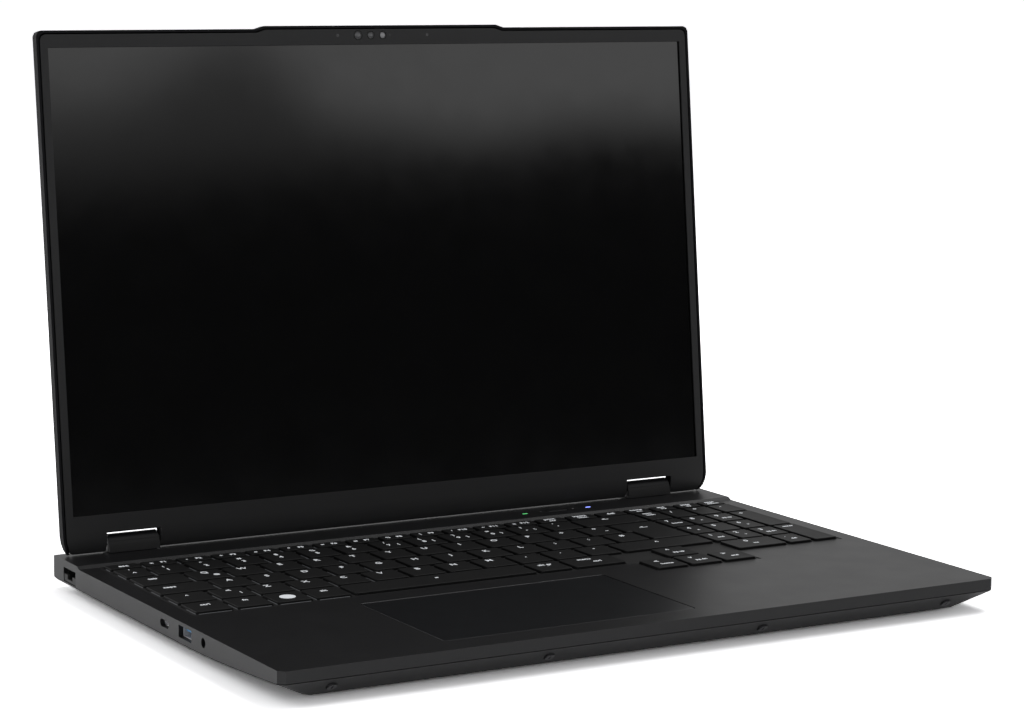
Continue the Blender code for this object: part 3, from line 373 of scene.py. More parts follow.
LEGEND_INK = Finish("legend_ink", (0.50, 0.51, 0.53), 0.5, wear=0.0, dust=0.0, glow=0.42,
                    glow_color=(0.93, 0.96, 1.0))
# Painted glints: a glowing finish for thin strips at some keycaps' edges, in the place of the keyboard light
# escaping below them.
PAINTED_GLINT = Finish("backlight", (0.10, 0.10, 0.105), 0.5, wear=0.0, dust=0.0, glow=0.05,
                   glow_color=(0.9, 0.94, 1.0))
# Painted highlight: a pale finish for the strip on the deck's cut edge behind the touchpad.
PAD_RIM_HIGHLIGHT = Finish("pad_edge", (0.15, 0.15, 0.155), 0.4, wear=0.0, dust=0.0)
SOCKET_STEEL = Finish("socket_steel", (0.82, 0.82, 0.84), 0.42, metallic=0.7, dust=0.0, wear=0.0)
WELL_PLASTIC = Finish("well_plastic", (0.0040, 0.0040, 0.0042), 0.60)
PAD_FILM = Finish("pad_film", (0.0036, 0.0043, 0.0058), 0.34, mottling=0.06, grain_height=0.000004, wear=0.15)
PRINT_GREY = Finish("print_grey", (0.16, 0.16, 0.165), 0.5, wear=0.0, dust=0.0)
RUBBER = Finish("rubber", (0.012, 0.012, 0.012), 0.85, grain_scale=1500.0, grain_height=0.00004)
STEEL = Finish("plain_steel", (0.48, 0.48, 0.49), 0.32, metallic=1.0, dust=0.0, worn_color=(0.7, 0.7, 0.7))
BLACK_STEEL = Finish("black_steel", (0.075, 0.075, 0.08), 0.34, metallic=0.7)
KNUCKLE_PAINT = Finish("knuckle_paint", (0.0055, 0.0055, 0.0062), 0.42)
GOLD = Finish("gold_contact", (0.75, 0.52, 0.22), 0.25, metallic=1.0, dust=0.0, wear=0.0)
COPPER = Finish("copper", (0.68, 0.33, 0.19), 0.35, metallic=1.0, worn_color=(0.8, 0.5, 0.35))
SOLDER_MASK = Finish("solder_mask", (0.008, 0.05, 0.025), 0.42, worn_color=(0.3, 0.28, 0.2))
DARK_PLASTIC = Finish("dark_plastic", (0.012, 0.012, 0.012), 0.6, grain_height=0.00002)
BLUE_PLASTIC = Finish("blue_plastic", (0.12, 0.36, 0.66), 0.45, wear=0.0, dust=0.0)
BATTERY_WRAP = Finish("battery_wrap", (0.022, 0.022, 0.025), 0.45, mottling=0.3)
GREEN_LIGHT = Finish("green_light", (0.1, 0.4, 0.15), 0.4, wear=0.0, dust=0.0, glow=0.9,
                     glow_color=(0.12, 0.75, 0.22))
BLUE_LIGHT = Finish("blue_light", (0.2, 0.25, 0.6), 0.4, wear=0.0, dust=0.0, glow=2.6,
                    glow_color=(0.25, 0.32, 1.0))


# Places


@dataclass(frozen=True)
class Places:
    """Where the base and the lid stand, worked out from the frame.

    Attributes:
        ridge: Height of the raised rear of the deck above the deck.
        lean: How far the lid leans back from upright, in radians.
    """

    ridge: float = 0.0012
    lean: float = math.radians(6.13)

    @property
    def hinge(self) -> Vector:
        """A point on the lid's hinge axis."""
        return Vector(next(j for j in frame["joints"] if j["name"] == "lid_hinge")["pos_m"])

    @property
    def base(self) -> Matrix:
        """Moves points drawn from the deck's front edge and surface into the frame."""
        low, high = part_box("top_deck")
        return Matrix.Translation((0.0, low.y, high.z - self.ridge))

    @property
    def lid(self) -> Matrix:
        """Moves points drawn from the hinge axis into the frame."""
        return Matrix.Translation(self.hinge) @ Matrix.Rotation(-self.lean, 4, "X")

    def box(self, node: str) -> tuple[Vector, Vector]:
        """The corners of a node of the base, as its pieces are drawn.

        Args:
            node: The CAD node.

        Returns:
            Its lowest and its highest corner.
        """
        back = self.base.inverted()
        low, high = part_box(node)
        return back @ low, back @ high


PLACES = Places()


# Mesh work


def rounded_rectangle(half_x: float, half_y: float, radius: float, steps: int = 6) -> Outline:
    """A rectangle about the origin with round corners.

    Args:
        half_x: Half its width.
        half_y: Half its depth.
        radius: Corner radius.
        steps: Number of straight steps in each corner.

    Returns:
        The outline's points, anticlockwise.
    """
    points = []
    for sx, sy, start in ((1, -1, 270), (1, 1, 0), (-1, 1, 90), (-1, -1, 180)):
        for i in range(steps + 1):
            angle = math.radians(start + 90 * i / steps)
            points.append((sx * (half_x - radius) + radius * math.cos(angle),
                           sy * (half_y - radius) + radius * math.sin(angle)))
    return points


def circle(radius: float, sides: int = 48) -> Outline:
    """A circle about the origin, as an outline."""
    return [(radius * math.cos(2 * math.pi * i / sides), radius * math.sin(2 * math.pi * i / sides))
            for i in range(sides)]


def linked(name: str, data: bpy.types.ID) -> Piece:
    """Makes an object and puts it in the scene.

    Args:
        name: Its name.
        data: Its mesh, curve, light or camera.

    Returns:
        The object.
    """
    obj = bpy.data.objects.new(name, data)
    bpy.context.scene.collection.objects.link(obj)
    return obj


def evaluated_mesh(obj: Piece) -> bpy.types.Mesh:
    """Makes a plain mesh of what an object's curve or modifiers give.

    Args:
        obj: The object.

    Returns:
        The mesh.
    """
    bpy.context.view_layer.update()
    graph = bpy.context.evaluated_depsgraph_get()
    return bpy.data.meshes.new_from_object(obj.evaluated_get(graph), depsgraph=graph)


def settled(obj: Piece) -> Piece:
    """Turns an object's evaluated geometry into its plain mesh and removes its modifiers.

    Args:
        obj: The object, with its modifiers.

    Returns:
        The same object.
    """
    mesh = evaluated_mesh(obj)
    obj.modifiers.clear()
    obj.data = mesh
    return obj


def dress(obj: Piece, body: str, replaces: Iterable[str] = ()) -> Piece:
    """Makes a finished object ride on its body.

    Args:
        obj: The piece, with its mesh final.
        body: The CAD body that it moves with.
        replaces: The CAD nodes that it stands for.

    Returns:
        The same object.
    """
    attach(obj, body)
    if replaces:
        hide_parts(*replaces)
    LOG.info("%s rides on %s with %d faces", obj.name, body, len(obj.data.polygons))
    return obj


def made_of(bm: bmesh.types.BMesh, name: str, finishes: Iterable[Finish]) -> Piece:
    """Ends a mesh under construction and makes an object of it.

    Args:
        bm: The mesh.
        name: The object's name.
        finishes: The finishes that material indices stand for.

    Returns:
        The object.
    """
    mesh = bpy.data.meshes.new(name)
    bm.to_mesh(mesh)
    bm.free()
    for finish in finishes:
        mesh.materials.append(finish.build())
    return linked(name, mesh)


class Solid:
    """A mesh under construction, made of closed bodies.

    Attributes:
        place: Moves its points into the frame.
        bm: The mesh so far.
    """

    def __init__(self, place: Matrix) -> None:
        """Starts an empty mesh at a place."""
        self.place = place
        self.bm = bmesh.new()

    def loft(self, loops: Sequence[Sequence[Point]], finish: int = 0, top: int | None = None) -> None:
        """Adds a closed body through loops with the same number of points.

        Args:
            loops: The loops, from the first cap to the last.
            finish: Material index of its faces.
            top: Material index of the last cap, if it differs.
        """
        rings = [[self.bm.verts.new(p) for p in loop] for loop in loops]
        for lower, upper in zip(rings, rings[1:]):
            self._band(lower, upper, finish)
        self.bm.faces.new(rings[0][::-1]).material_index = finish
        self.bm.faces.new(rings[-1]).material_index = finish if top is None else top

    def box(self, low: Point, high: Point, finish: int = 0) -> None:
        """Adds a block between two corners."""
        corners = [(low[0], low[1]), (high[0], low[1]), (high[0], high[1]), (low[0], high[1])]
        self.loft([[(x, y, z) for x, y in corners] for z in (low[2], high[2])], finish)

    def stack(self, outline: Outline, levels: Sequence[tuple[float, float]], centre: Point = (0, 0, 0),
              finish: int = 0) -> None:
        """Adds a body whose section is one outline, scaled about a centre at each level.

        Args:
            outline: The section at full size, about the origin.
            levels: Distance by which the section shrinks, and height, of each loop.
            centre: The origin's place.
            finish: Material index.
        """
        reach_x = max(x for x, _ in outline)
        reach_y = max(y for _, y in outline)
        self.loft([[(centre[0] + x * (1 - inset / reach_x), centre[1] + y * (1 - inset / reach_y),
                     centre[2] + z) for x, y in outline] for inset, z in levels], finish)

    def ring(self, outer: Outline, inner: Outline, low: float, high: float, finish: int = 0) -> None:
        """Adds a tube along Z.

        Args:
            outer: Its outer outline.
            inner: Its inner outline, with the same number of points.
            low: Height of its lower end.
            high: Height of its upper end.
            finish: Material index of its faces.
        """
        loops = [[self.bm.verts.new((x, y, z)) for x, y in outline]
                 for outline, z in ((outer, low), (outer, high), (inner, high), (inner, low))]
        for first, second in zip(loops, loops[1:] + loops[:1]):
            self._band(first, second, finish)

    def _band(self, first: Sequence, second: Sequence, finish: int) -> None:
        """Joins two loops with a band of faces.

        Args:
            first: The first loop's vertices.
            second: The second loop's vertices.
            finish: Material index of the faces.
        """
        count = len(first)
        for i in range(count):
            j = (i + 1) % count
            self.bm.faces.new((first[i], first[j], second[j], second[i])).material_index = finish

    def piece(self, name: str, body: str, finishes: Sequence[Finish],
              replaces: Iterable[str] = (), bevel: float = 0.0, segments: int = 2) -> Piece:
        """Ends the mesh and makes it a piece.

        Args:
            name: The piece's name.
            body: The body it rides on.
            finishes: The finishes that material indices stand for.
            replaces: The CAD nodes that it stands for.
            bevel: Width of the bevel on its edges.
            segments: Steps in the bevel.

        Returns:
            The finished piece.
        """
        self.bm.transform(self.place)
        bmesh.ops.recalc_face_normals(self.bm, faces=self.bm.faces)
        return dress(smoothed(made_of(self.bm, name, finishes), bevel, segments), body, replaces)


def smoothed(obj: Piece, bevel: float, segments: int, angle: float = 30.0) -> Piece:
    """Bevels an object's sharp edges and shades it smooth, with its broad faces kept flat.

    Args:
        obj: The object.
        bevel: Width of the bevel, or 0 for none.
        segments: Steps in the bevel.
        angle: Edges sharper than this, in degrees, are bevelled.

    Returns:
        The same object.
    """
    if bevel:
        rounding = obj.modifiers.new("bevel", "BEVEL")
        rounding.width = bevel
        rounding.segments = segments
        rounding.limit_method = "ANGLE"
        rounding.angle_limit = math.radians(angle)
        settled(obj)
    obj.data.shade_smooth()
    obj.data.set_sharp_from_angle(angle=math.radians(SHARP_ANGLE))
    flattening = obj.modifiers.new("weighted_normal", "WEIGHTED_NORMAL")
    flattening.weight = FLATTENING_WEIGHT
    flattening.keep_sharp = True
    return settled(obj)


def refined(node: str, body: str, slot: str, finish: Finish, bevel: float = 0.00020,
            segments: int = 3, angle: float = 30.0) -> Piece:
    """Makes a fine piece from a CAD node: its faces merged and its edges rounded.

    Args:
        node: The CAD node that the piece stands for.
        body: The body it rides on.
        slot: The record's material slot; not used.
        finish: Its finish.
        bevel: Width of the rounding.
        segments: Steps in the rounding.
        angle: Edges sharper than this are rounded.

    Returns:
        The finished piece.
    """
    bm = bmesh.new()
    bm.from_mesh(frame["nodes"][node].data)
    bmesh.ops.remove_doubles(bm, verts=bm.verts, dist=MERGE_DISTANCE)
    bmesh.ops.dissolve_limit(bm, angle_limit=math.radians(FLAT_ANGLE), verts=bm.verts, edges=bm.edges)
    obj = made_of(bm, node + "_fine", (finish,))
    return dress(smoothed(obj, bevel, segments, angle), body, [node])


# Geometry node trees for what repeats


class Tree:
    """A geometry node tree with named inputs."""

    def __init__(self, name: str, inputs: Sequence[tuple[str, str]]) -> None:
        """Makes the tree.

        Args:
            name: Its name.
            inputs: Name and socket type of each input, after the geometry.
        """
        self.tree = bpy.data.node_groups.new(name, "GeometryNodeTree")
        interface = self.tree.interface
        interface.new_socket(name="Geometry", in_out="INPUT", socket_type="NodeSocketGeometry")
        self.sockets = {label: interface.new_socket(name=label, in_out="INPUT", socket_type=kind).identifier
                        for label, kind in inputs}
        interface.new_socket(name="Geometry", in_out="OUTPUT", socket_type="NodeSocketGeometry")
        self.source = self.tree.nodes.new("NodeGroupInput").outputs
        self.out = self.tree.nodes.new("NodeGroupOutput").inputs

    def node(self, kind: str, **inputs: object) -> bpy.types.Node:
        """Adds a node and links or sets its inputs by name, with _ for a space."""
        return add_node(self.tree, kind, **inputs)

    def scatter(self, shape: Socket) -> None:
        """Ends the tree with a shape on every point, made real and given the material.

        Args:
            shape: The shape's geometry.
        """
        copies = self.node("GeometryNodeInstanceOnPoints", Points=self.source["Geometry"], Instance=shape)
        real = self.node("GeometryNodeRealizeInstances", Geometry=copies.outputs["Instances"])
        dressed = self.node("GeometryNodeSetMaterial", Geometry=real.outputs["Geometry"],
                            Material=self.source["Material"])
        wire(self.tree, dressed.outputs["Geometry"], self.out["Geometry"])

    def grow(self, points: Sequence[Point], values: dict[str, object]) -> Piece:
        """Runs the tree on a set of points.

        Args:
            points: The points that the tree starts from.
            values: The value of each named input.

        Returns:
            An object with a plain mesh, not yet in place.
        """
        mesh = bpy.data.meshes.new(self.tree.name)
        mesh.from_pydata([tuple(p) for p in points], [], [])
        obj = linked(self.tree.name, mesh)
        modifier = obj.modifiers.new("grow", "NODES")
        modifier.node_group = self.tree
        for label, value in values.items():
            modifier[self.sockets[label]] = value
        return settled(obj)


class BlockField(Tree):
    """Equal blocks on points: fins, contacts, ribs and mesh bars."""

    def __init__(self) -> None:
        """Builds the tree."""
        super().__init__("block_field", [("Size", "NodeSocketVector"), ("Material", "NodeSocketMaterial")])
        self.scatter(self.node("GeometryNodeMeshCube", Size=self.source["Size"]).outputs["Mesh"])


class ScrewField(Tree):
    """Pan-head screws with a cross recess on points, all facing along local +Z."""

    def __init__(self) -> None:
        """Builds the tree."""
        super().__init__("screw_field", [("Radius", "NodeSocketFloat"), ("Height", "NodeSocketFloat"),
                                         ("Recess", "NodeSocketVector"), ("Cross", "NodeSocketVector"),
                                         ("Material", "NodeSocketMaterial")])
        head = self.node("GeometryNodeMeshCylinder", Vertices=32, Radius=self.source["Radius"],
                         Depth=self.source["Height"])
        lift = self.node("ShaderNodeVectorMath")
        lift.operation = "MULTIPLY"
        wire(self.tree, self.source["Recess"], lift.inputs[0])
        wire(self.tree, (0.0, 0.0, 0.5), lift.inputs[1])
        cutters = self.node("GeometryNodeJoinGeometry")
        for slot in ("Recess", "Cross"):
            cutter = self.node("GeometryNodeMeshCube", Size=self.source[slot])
            raised = self.node("GeometryNodeTransform", Geometry=cutter.outputs["Mesh"],
                               Translation=lift.outputs["Vector"])
            wire(self.tree, raised.outputs["Geometry"], cutters.inputs["Geometry"])
        cut = self.node("GeometryNodeMeshBoolean")
        cut.operation = "DIFFERENCE"
        wire(self.tree, head.outputs["Mesh"], cut.inputs["Mesh 1"])
        wire(self.tree, cutters.outputs["Geometry"], cut.inputs["Mesh 2"])
        self.scatter(cut.outputs["Mesh"])


def place_grown(obj: Piece, name: str, place: Matrix, body: str,
                replaces: Iterable[str] = ()) -> Piece:
    """Names what a tree grew, moves its mesh into the frame and makes it ride.

    Args:
        obj: What the tree grew.
        name: The piece's name.
        place: Moves its points into the frame.
        body: The body it rides on.
        replaces: The CAD nodes that it stands for.

    Returns:
        The finished piece.
    """
    obj.name = name
    obj.data.transform(place)
    obj.data.shade_smooth()
    obj.data.set_sharp_from_angle(angle=math.radians(GROWN_SHARP_ANGLE))
    return dress(obj, body, replaces)


# Stage


@dataclass(frozen=True)
class Lamp:
    """A round soft light.

    Attributes:
        name: Its name.
        size: Diameter.
        power: Power in watts.
        spot: Its place.
        target: What it points at.
    """

    name: str
    size: float
    power: float
    spot: Point
    target: Point


@dataclass
class Studio:
    """Camera, pale floor and soft daylight around the laptop.

    Attributes:
        azimuth: Turn of the view about +Z, in degrees; 0 looks along +Y.
        elevation: How far the camera looks down, in degrees.
        roll: Turn of the camera about its own axis, in degrees.
        position: The camera's place.
        lens: Focal length in millimetres on a 36 mm sensor.
        shift: Vertical shift of the picture.
        floor_half: Half the floor's size.
        floor_shades: How pale the floor is for plain light, in reflections and to the camera.
        zenith: Brightness of the sky overhead.
        horizon: What the sky gains towards the horizon.
        haze_gain: How fast that fades out with height.
        front_band: What the sky gains again low in front of the screen.
        front_aim: Direction of the middle of that band.
        front_start: Cosine from the band's middle at which it starts.
        front_gain: How fast it rises from there.
        backdrop: Brightness of the sky to the camera.
        lamps: A large light above the right shoulder, and one over the floor behind on the left.
        flag_shade: Brightness of the dark card.
        flag_foot: The point that the card's distance counts from.
        flag_distance: How far in front of the screen the card stands.
        flag_half_width: Half the card's width.
        flag_edges: Place along X and height of points on the card's wavy upper edge.
        flag_fade: Height over which that edge fades out.
        flag_veil: Share of the light that passes just below the edge, and the heights over which it ends.
        flag_rise: Height of the card above the lowest point of its edge.
    """

    azimuth: float = -30.235
    elevation: float = 8.214
    roll: float = 0.456
    position: Point = (-0.64217, -1.10409, 0.29217)
    lens: float = 99.526
    shift: float = 0.00267
    floor_half: float = 30.0
    floor_shades: tuple[float, float, float] = (0.80, 1.75, 2.75)
    zenith: float = 0.30
    horizon: float = 1.00
    haze_gain: float = 2.2
    front_band: float = 0.75
    front_aim: Point = (0.45, -0.88, 0.15)
    front_start: float = 0.6
    front_gain: float = 2.5
    backdrop: float = 1.05
    lamps: tuple[Lamp, ...] = (
        Lamp("key_light", 1.4, 16.0, (1.2, 0.3, 2.3), (0.0, 0.0, 0.0)),
        Lamp("floor_light", 0.9, 9.0, (-1.0, 1.3, 0.8), (-0.9, 1.2, 0.0)))
    flag_shade: tuple[float, ...] = (0.035, 0.035, 0.036, 1.0)
    flag_foot: Point = (0.0, 0.1, 0.0)
    flag_distance: float = 0.90
    flag_half_width: float = 1.3
    flag_edges: tuple[tuple[float, float], ...] = (
        (0.15, 0.378), (0.24, 0.375), (0.29, 0.396), (0.33, 0.412), (0.36, 0.385), (0.39, 0.345),
        (0.44, 0.330), (0.50, 0.312), (0.56, 0.318), (0.61, 0.310), (0.70, 0.295))
    flag_fade: float = 0.040
    flag_veil: tuple[float, float, float] = (0.26, 0.285, 0.335)
    flag_rise: float = 0.2

    def build(self) -> None:
        """Makes the camera, the floor, the world, the lights and the dark card."""
        self._camera()
        self._floor()
        self._world()
        self._lights()
        self._flag()
        bpy.context.scene.view_settings.view_transform = "Standard"

    def _camera(self) -> None:
        """Sets the scene's camera."""
        turn, drop, roll = (math.radians(a) for a in (self.azimuth, self.elevation, self.roll))
        back = Vector((math.sin(turn) * math.cos(drop), -math.cos(turn) * math.cos(drop), math.sin(drop)))
        right = (-back).cross(Vector((0, 0, 1))).normalized()
        up = right.cross(-back)
        side = right * math.cos(roll) + up * math.sin(roll)
        top = up * math.cos(roll) - right * math.sin(roll)
        data = bpy.data.cameras.new("camera")
        data.lens = self.lens
        data.shift_y = self.shift
        data.clip_end = 200.0
        camera = linked("camera", data)
        axes = Matrix((side, top, back)).transposed().to_4x4()
        camera.matrix_world = Matrix.Translation(self.position) @ axes
        bpy.context.scene.camera = camera

    def _bare(self, name: str) -> bpy.types.Material:
        """Makes a material with an output and no shader.

        Args:
            name: Its name.

        Returns:
            The material.
        """
        material = bpy.data.materials.new(name)
        material.use_nodes = True
        material.node_tree.nodes.remove(material.node_tree.nodes["Principled BSDF"])
        return material

    def _staged(self, name: str, corners: Sequence[Point], material: bpy.types.Material) -> Piece:
        """Makes one flat stage face.

        Args:
            name: Its name.
            corners: Its corners.
            material: Its material.

        Returns:
            The face's object.
        """
        mesh = bpy.data.meshes.new(name)
        mesh.from_pydata([tuple(c) for c in corners], [], [tuple(range(len(corners)))])
        mesh.materials.append(material)
        obj = linked(name, mesh)
        return obj

    def _floor(self) -> None:
        """A plain pale floor, a little brighter to the camera than to the laptop."""
        material = self._bare("pale_floor")
        tree = material.node_tree
        path = tree.nodes.new("ShaderNodeLightPath").outputs
        plain, mirrored, seen = ((c, c, c * 1.01, 1.0) for c in self.floor_shades)
        shade = mix_color(tree, path["Is Glossy Ray"], plain, mirrored)
        color = mix_color(tree, path["Is Camera Ray"], shade, seen)
        diffuse = add_node(tree, "ShaderNodeBsdfDiffuse", Color=color)
        wire(tree, diffuse.outputs["BSDF"], tree.nodes["Material Output"].inputs["Surface"])
        half = self.floor_half
        corners = [(-half, -half, 0), (half, -half, 0), (half, half, 0), (-half, half, 0)]
        self._staged("floor", corners, material)

    def _world(self) -> None:
        """White all round to the camera; for light and reflections a soft sky, brightest in front."""
        world = bpy.data.worlds.new("soft_daylight")
        bpy.context.scene.world = world
        world.use_nodes = True
        tree = world.node_tree
        background = tree.nodes["Background"].inputs
        background["Color"].default_value = (1.0, 1.0, 1.0, 1.0)
        direction = tree.nodes.new("ShaderNodeTexCoord").outputs["Generated"]
        height = add_node(tree, "ShaderNodeSeparateXYZ", Vector=direction).outputs["Z"]
        climb = math_node(tree, "MULTIPLY", height, self.haze_gain)
        haze = math_node(tree, "SUBTRACT", 1.0, climb, clamp=True)
        nearness = math_node(tree, "SUBTRACT", dot_product(tree, direction, self.front_aim), self.front_start)
        front = math_node(tree, "MULTIPLY", nearness, self.front_gain, clamp=True)
        band = math_node(tree, "MULTIPLY", math_node(tree, "MULTIPLY", front, haze), self.front_band)
        sides = math_node(tree, "ADD", math_node(tree, "MULTIPLY", haze, self.horizon), self.zenith)
        strength = math_node(tree, "ADD", sides, band)
        camera = tree.nodes.new("ShaderNodeLightPath").outputs["Is Camera Ray"]
        seen = math_node(tree, "MULTIPLY", camera, self.backdrop)
        unseen = math_node(tree, "MULTIPLY", math_node(tree, "SUBTRACT", 1.0, camera), strength)
        wire(tree, math_node(tree, "ADD", seen, unseen), background["Strength"])

    def _lights(self) -> None:
        """The round soft lights."""
        for lamp in self.lamps:
            data = bpy.data.lights.new(lamp.name, "AREA")
            data.shape = "DISK"
            data.size = lamp.size
            data.energy = lamp.power
            light = linked(lamp.name, data)
            light.location = lamp.spot
            aim = Vector(lamp.target) - light.location
            light.rotation_euler = aim.to_track_quat("-Z", "Y").to_euler()

    def _flag(self) -> None:
        """A dark card in front, seen only in reflections, with a soft, wavy upper edge."""
        material = self._bare("dark_card")
        tree = material.node_tree
        place = tree.nodes.new("ShaderNodeTexCoord").outputs["Object"]
        point = add_node(tree, "ShaderNodeSeparateXYZ", Vector=place).outputs
        start, end = self.flag_edges[0][0], self.flag_edges[-1][0]
        lowest = min(z for _, z in self.flag_edges)
        reach = max(z for _, z in self.flag_edges) - lowest
        offset = math_node(tree, "SUBTRACT", point["X"], start)
        across = math_node(tree, "MULTIPLY", offset, 1 / (end - start), clamp=True)
        wave = add_node(tree, "ShaderNodeFloatCurve", Value=across)
        curve = wave.mapping.curves[0]
        for index, (x, z) in enumerate(self.flag_edges):
            spot = ((x - start) / (end - start), (z - lowest) / reach)
            if index in (0, len(self.flag_edges) - 1):
                curve.points[min(index, 1) * -1].location = spot
            else:
                curve.points.new(*spot)
        wave.mapping.update()
        edge = math_node(tree, "ADD", math_node(tree, "MULTIPLY", wave.outputs["Value"], reach), lowest)
        above = math_node(tree, "SUBTRACT", point["Z"], edge)
        faded = math_node(tree, "MULTIPLY", above, 1 / self.flag_fade)
        clearing = math_node(tree, "ADD", faded, 0.5, clamp=True)
        share, foot, head = self.flag_veil
        veil = math_node(tree, "MULTIPLY", math_node(tree, "SUBTRACT", point["Z"], foot), 1 / (head - foot),
                         clamp=True)
        fade = math_node(tree, "ADD", math_node(tree, "MULTIPLY", clearing, 1 - share),
                         math_node(tree, "MULTIPLY", veil, share), clamp=True)
        mix = tree.nodes.new("ShaderNodeMixShader")
        dark = add_node(tree, "ShaderNodeEmission", Color=self.flag_shade)
        clear = tree.nodes.new("ShaderNodeBsdfTransparent")
        for value, socket in zip((fade, dark.outputs["Emission"], clear.outputs["BSDF"]), mix.inputs):
            wire(tree, value, socket)
        wire(tree, mix.outputs["Shader"], tree.nodes["Material Output"].inputs["Surface"])
        turn = math.radians(-self.azimuth)
        along = Vector((math.cos(turn), math.sin(turn), 0))
        toward = Vector((math.sin(turn), -math.cos(turn), 0))
        middle = Vector(self.flag_foot) + toward * self.flag_distance
        left, right = middle - along * self.flag_half_width, middle + along * self.flag_half_width
        top = Vector((0, 0, lowest + self.flag_rise))
        card = self._staged("dark_card", [left, right, right + top, left + top], material)
        card.visible_camera = False
        card.visible_diffuse = False
        card.visible_shadow = False
        card.visible_transmission = False


# Enclosure


@dataclass
class Enclosure:
    """The base's shells, hinge covers, feet and screws.

    Attributes:
        edge: Rounding of the shells' edges.
        hinge_edge: Rounding of the hinge covers' edges.
        foot_edge: Rounding of the feet.
        slope: Run and drop of the front slope that holds the screws.
        screw_radius: Radius of a screw head.
        screw_height: Thickness of a screw head.
        screw_lift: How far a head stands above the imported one.
        recess: Length, width and depth of one bar of the cross in a head.
        sleeve_offset: How far behind and above the hinge axis a sleeve's middle is.
        sleeve_radii: A sleeve's outer and inner radius.
        sleeve_inset: How far a sleeve ends inside its cover.
    """

    edge: float = 0.00025
    hinge_edge: float = 0.00015
    foot_edge: float = 0.0004
    slope: tuple[float, float] = (0.0093, 0.0080)
    screw_radius: float = 0.0021
    screw_height: float = 0.0008
    screw_lift: float = 0.0003
    recess: Point = (0.0024, 0.0006, 0.0008)
    sleeve_offset: tuple[float, float] = (0.0008, 0.0001)
    sleeve_radii: tuple[float, float] = (0.0038, 0.0022)
    sleeve_inset: float = 0.0003

    def build(self) -> None:
        """Builds the shells, hinge covers, feet and screws."""
        refined("top_deck", "base", "deck", DECK_PAINT, self.edge, angle=15.0)
        refined("bottom_cover", "base", "cover", COVER_PAINT, self.edge)
        for side in ("left", "right"):
            refined(f"hinge_base_{side}", "base", "knuckle", KNUCKLE_PAINT, self.hinge_edge)
            self._sleeve(side)
        self._screws()
        for node in ("front_foot_left", "front_foot_right", "rear_foot"):
            refined(node, "base", "rubber", RUBBER, self.foot_edge)

    def _screws(self) -> None:
        """The four cross-head screws of the front slope."""
        run, drop = self.slope
        length = math.hypot(run, drop)
        tilt = Matrix.Rotation(math.pi - math.atan2(drop, run), 4, "X")
        names = [f"cover_screw_{index}" for index in range(1, 5)]
        centres = [sum(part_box(name), Vector()) / 2 for name in names]
        outward = Vector((0, -drop / length, -run / length))
        depth = max((v.co - centres[0]).dot(outward) for v in frame["nodes"][names[0]].data.vertices)
        origin = centres[0] + outward * (depth + self.screw_lift - self.screw_height / 2)
        place = Matrix.Translation(origin) @ tilt
        points = [(c.x - centres[0].x, 0, 0) for c in centres]
        heads = ScrewField().grow(points, {
            "Radius": self.screw_radius, "Height": self.screw_height, "Recess": self.recess,
            "Cross": (self.recess[1], self.recess[0], self.recess[2]), "Material": BLACK_STEEL.build()})
        place_grown(heads, "cover_screws_fine", place, "base", names)

    def _sleeve(self, side: str) -> None:
        """The dark sleeve behind a hinge cover's crown, round the hinge shaft.

        Args:
            side: The hinge's side, left or right.
        """
        low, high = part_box(f"hinge_base_{side}")
        back, up = self.sleeve_offset
        turn = Matrix.Rotation(math.pi / 2, 4, "Y")
        sleeve = Solid(Matrix.Translation(PLACES.hinge + Vector((0, back, up))) @ turn)
        outer, inner = self.sleeve_radii
        sleeve.ring(circle(outer), circle(inner), low.x + self.sleeve_inset, high.x - self.sleeve_inset)
        sleeve.piece(f"hinge_sleeve_{side}", "base", (SHUTTER_PLASTIC,))


# Lid


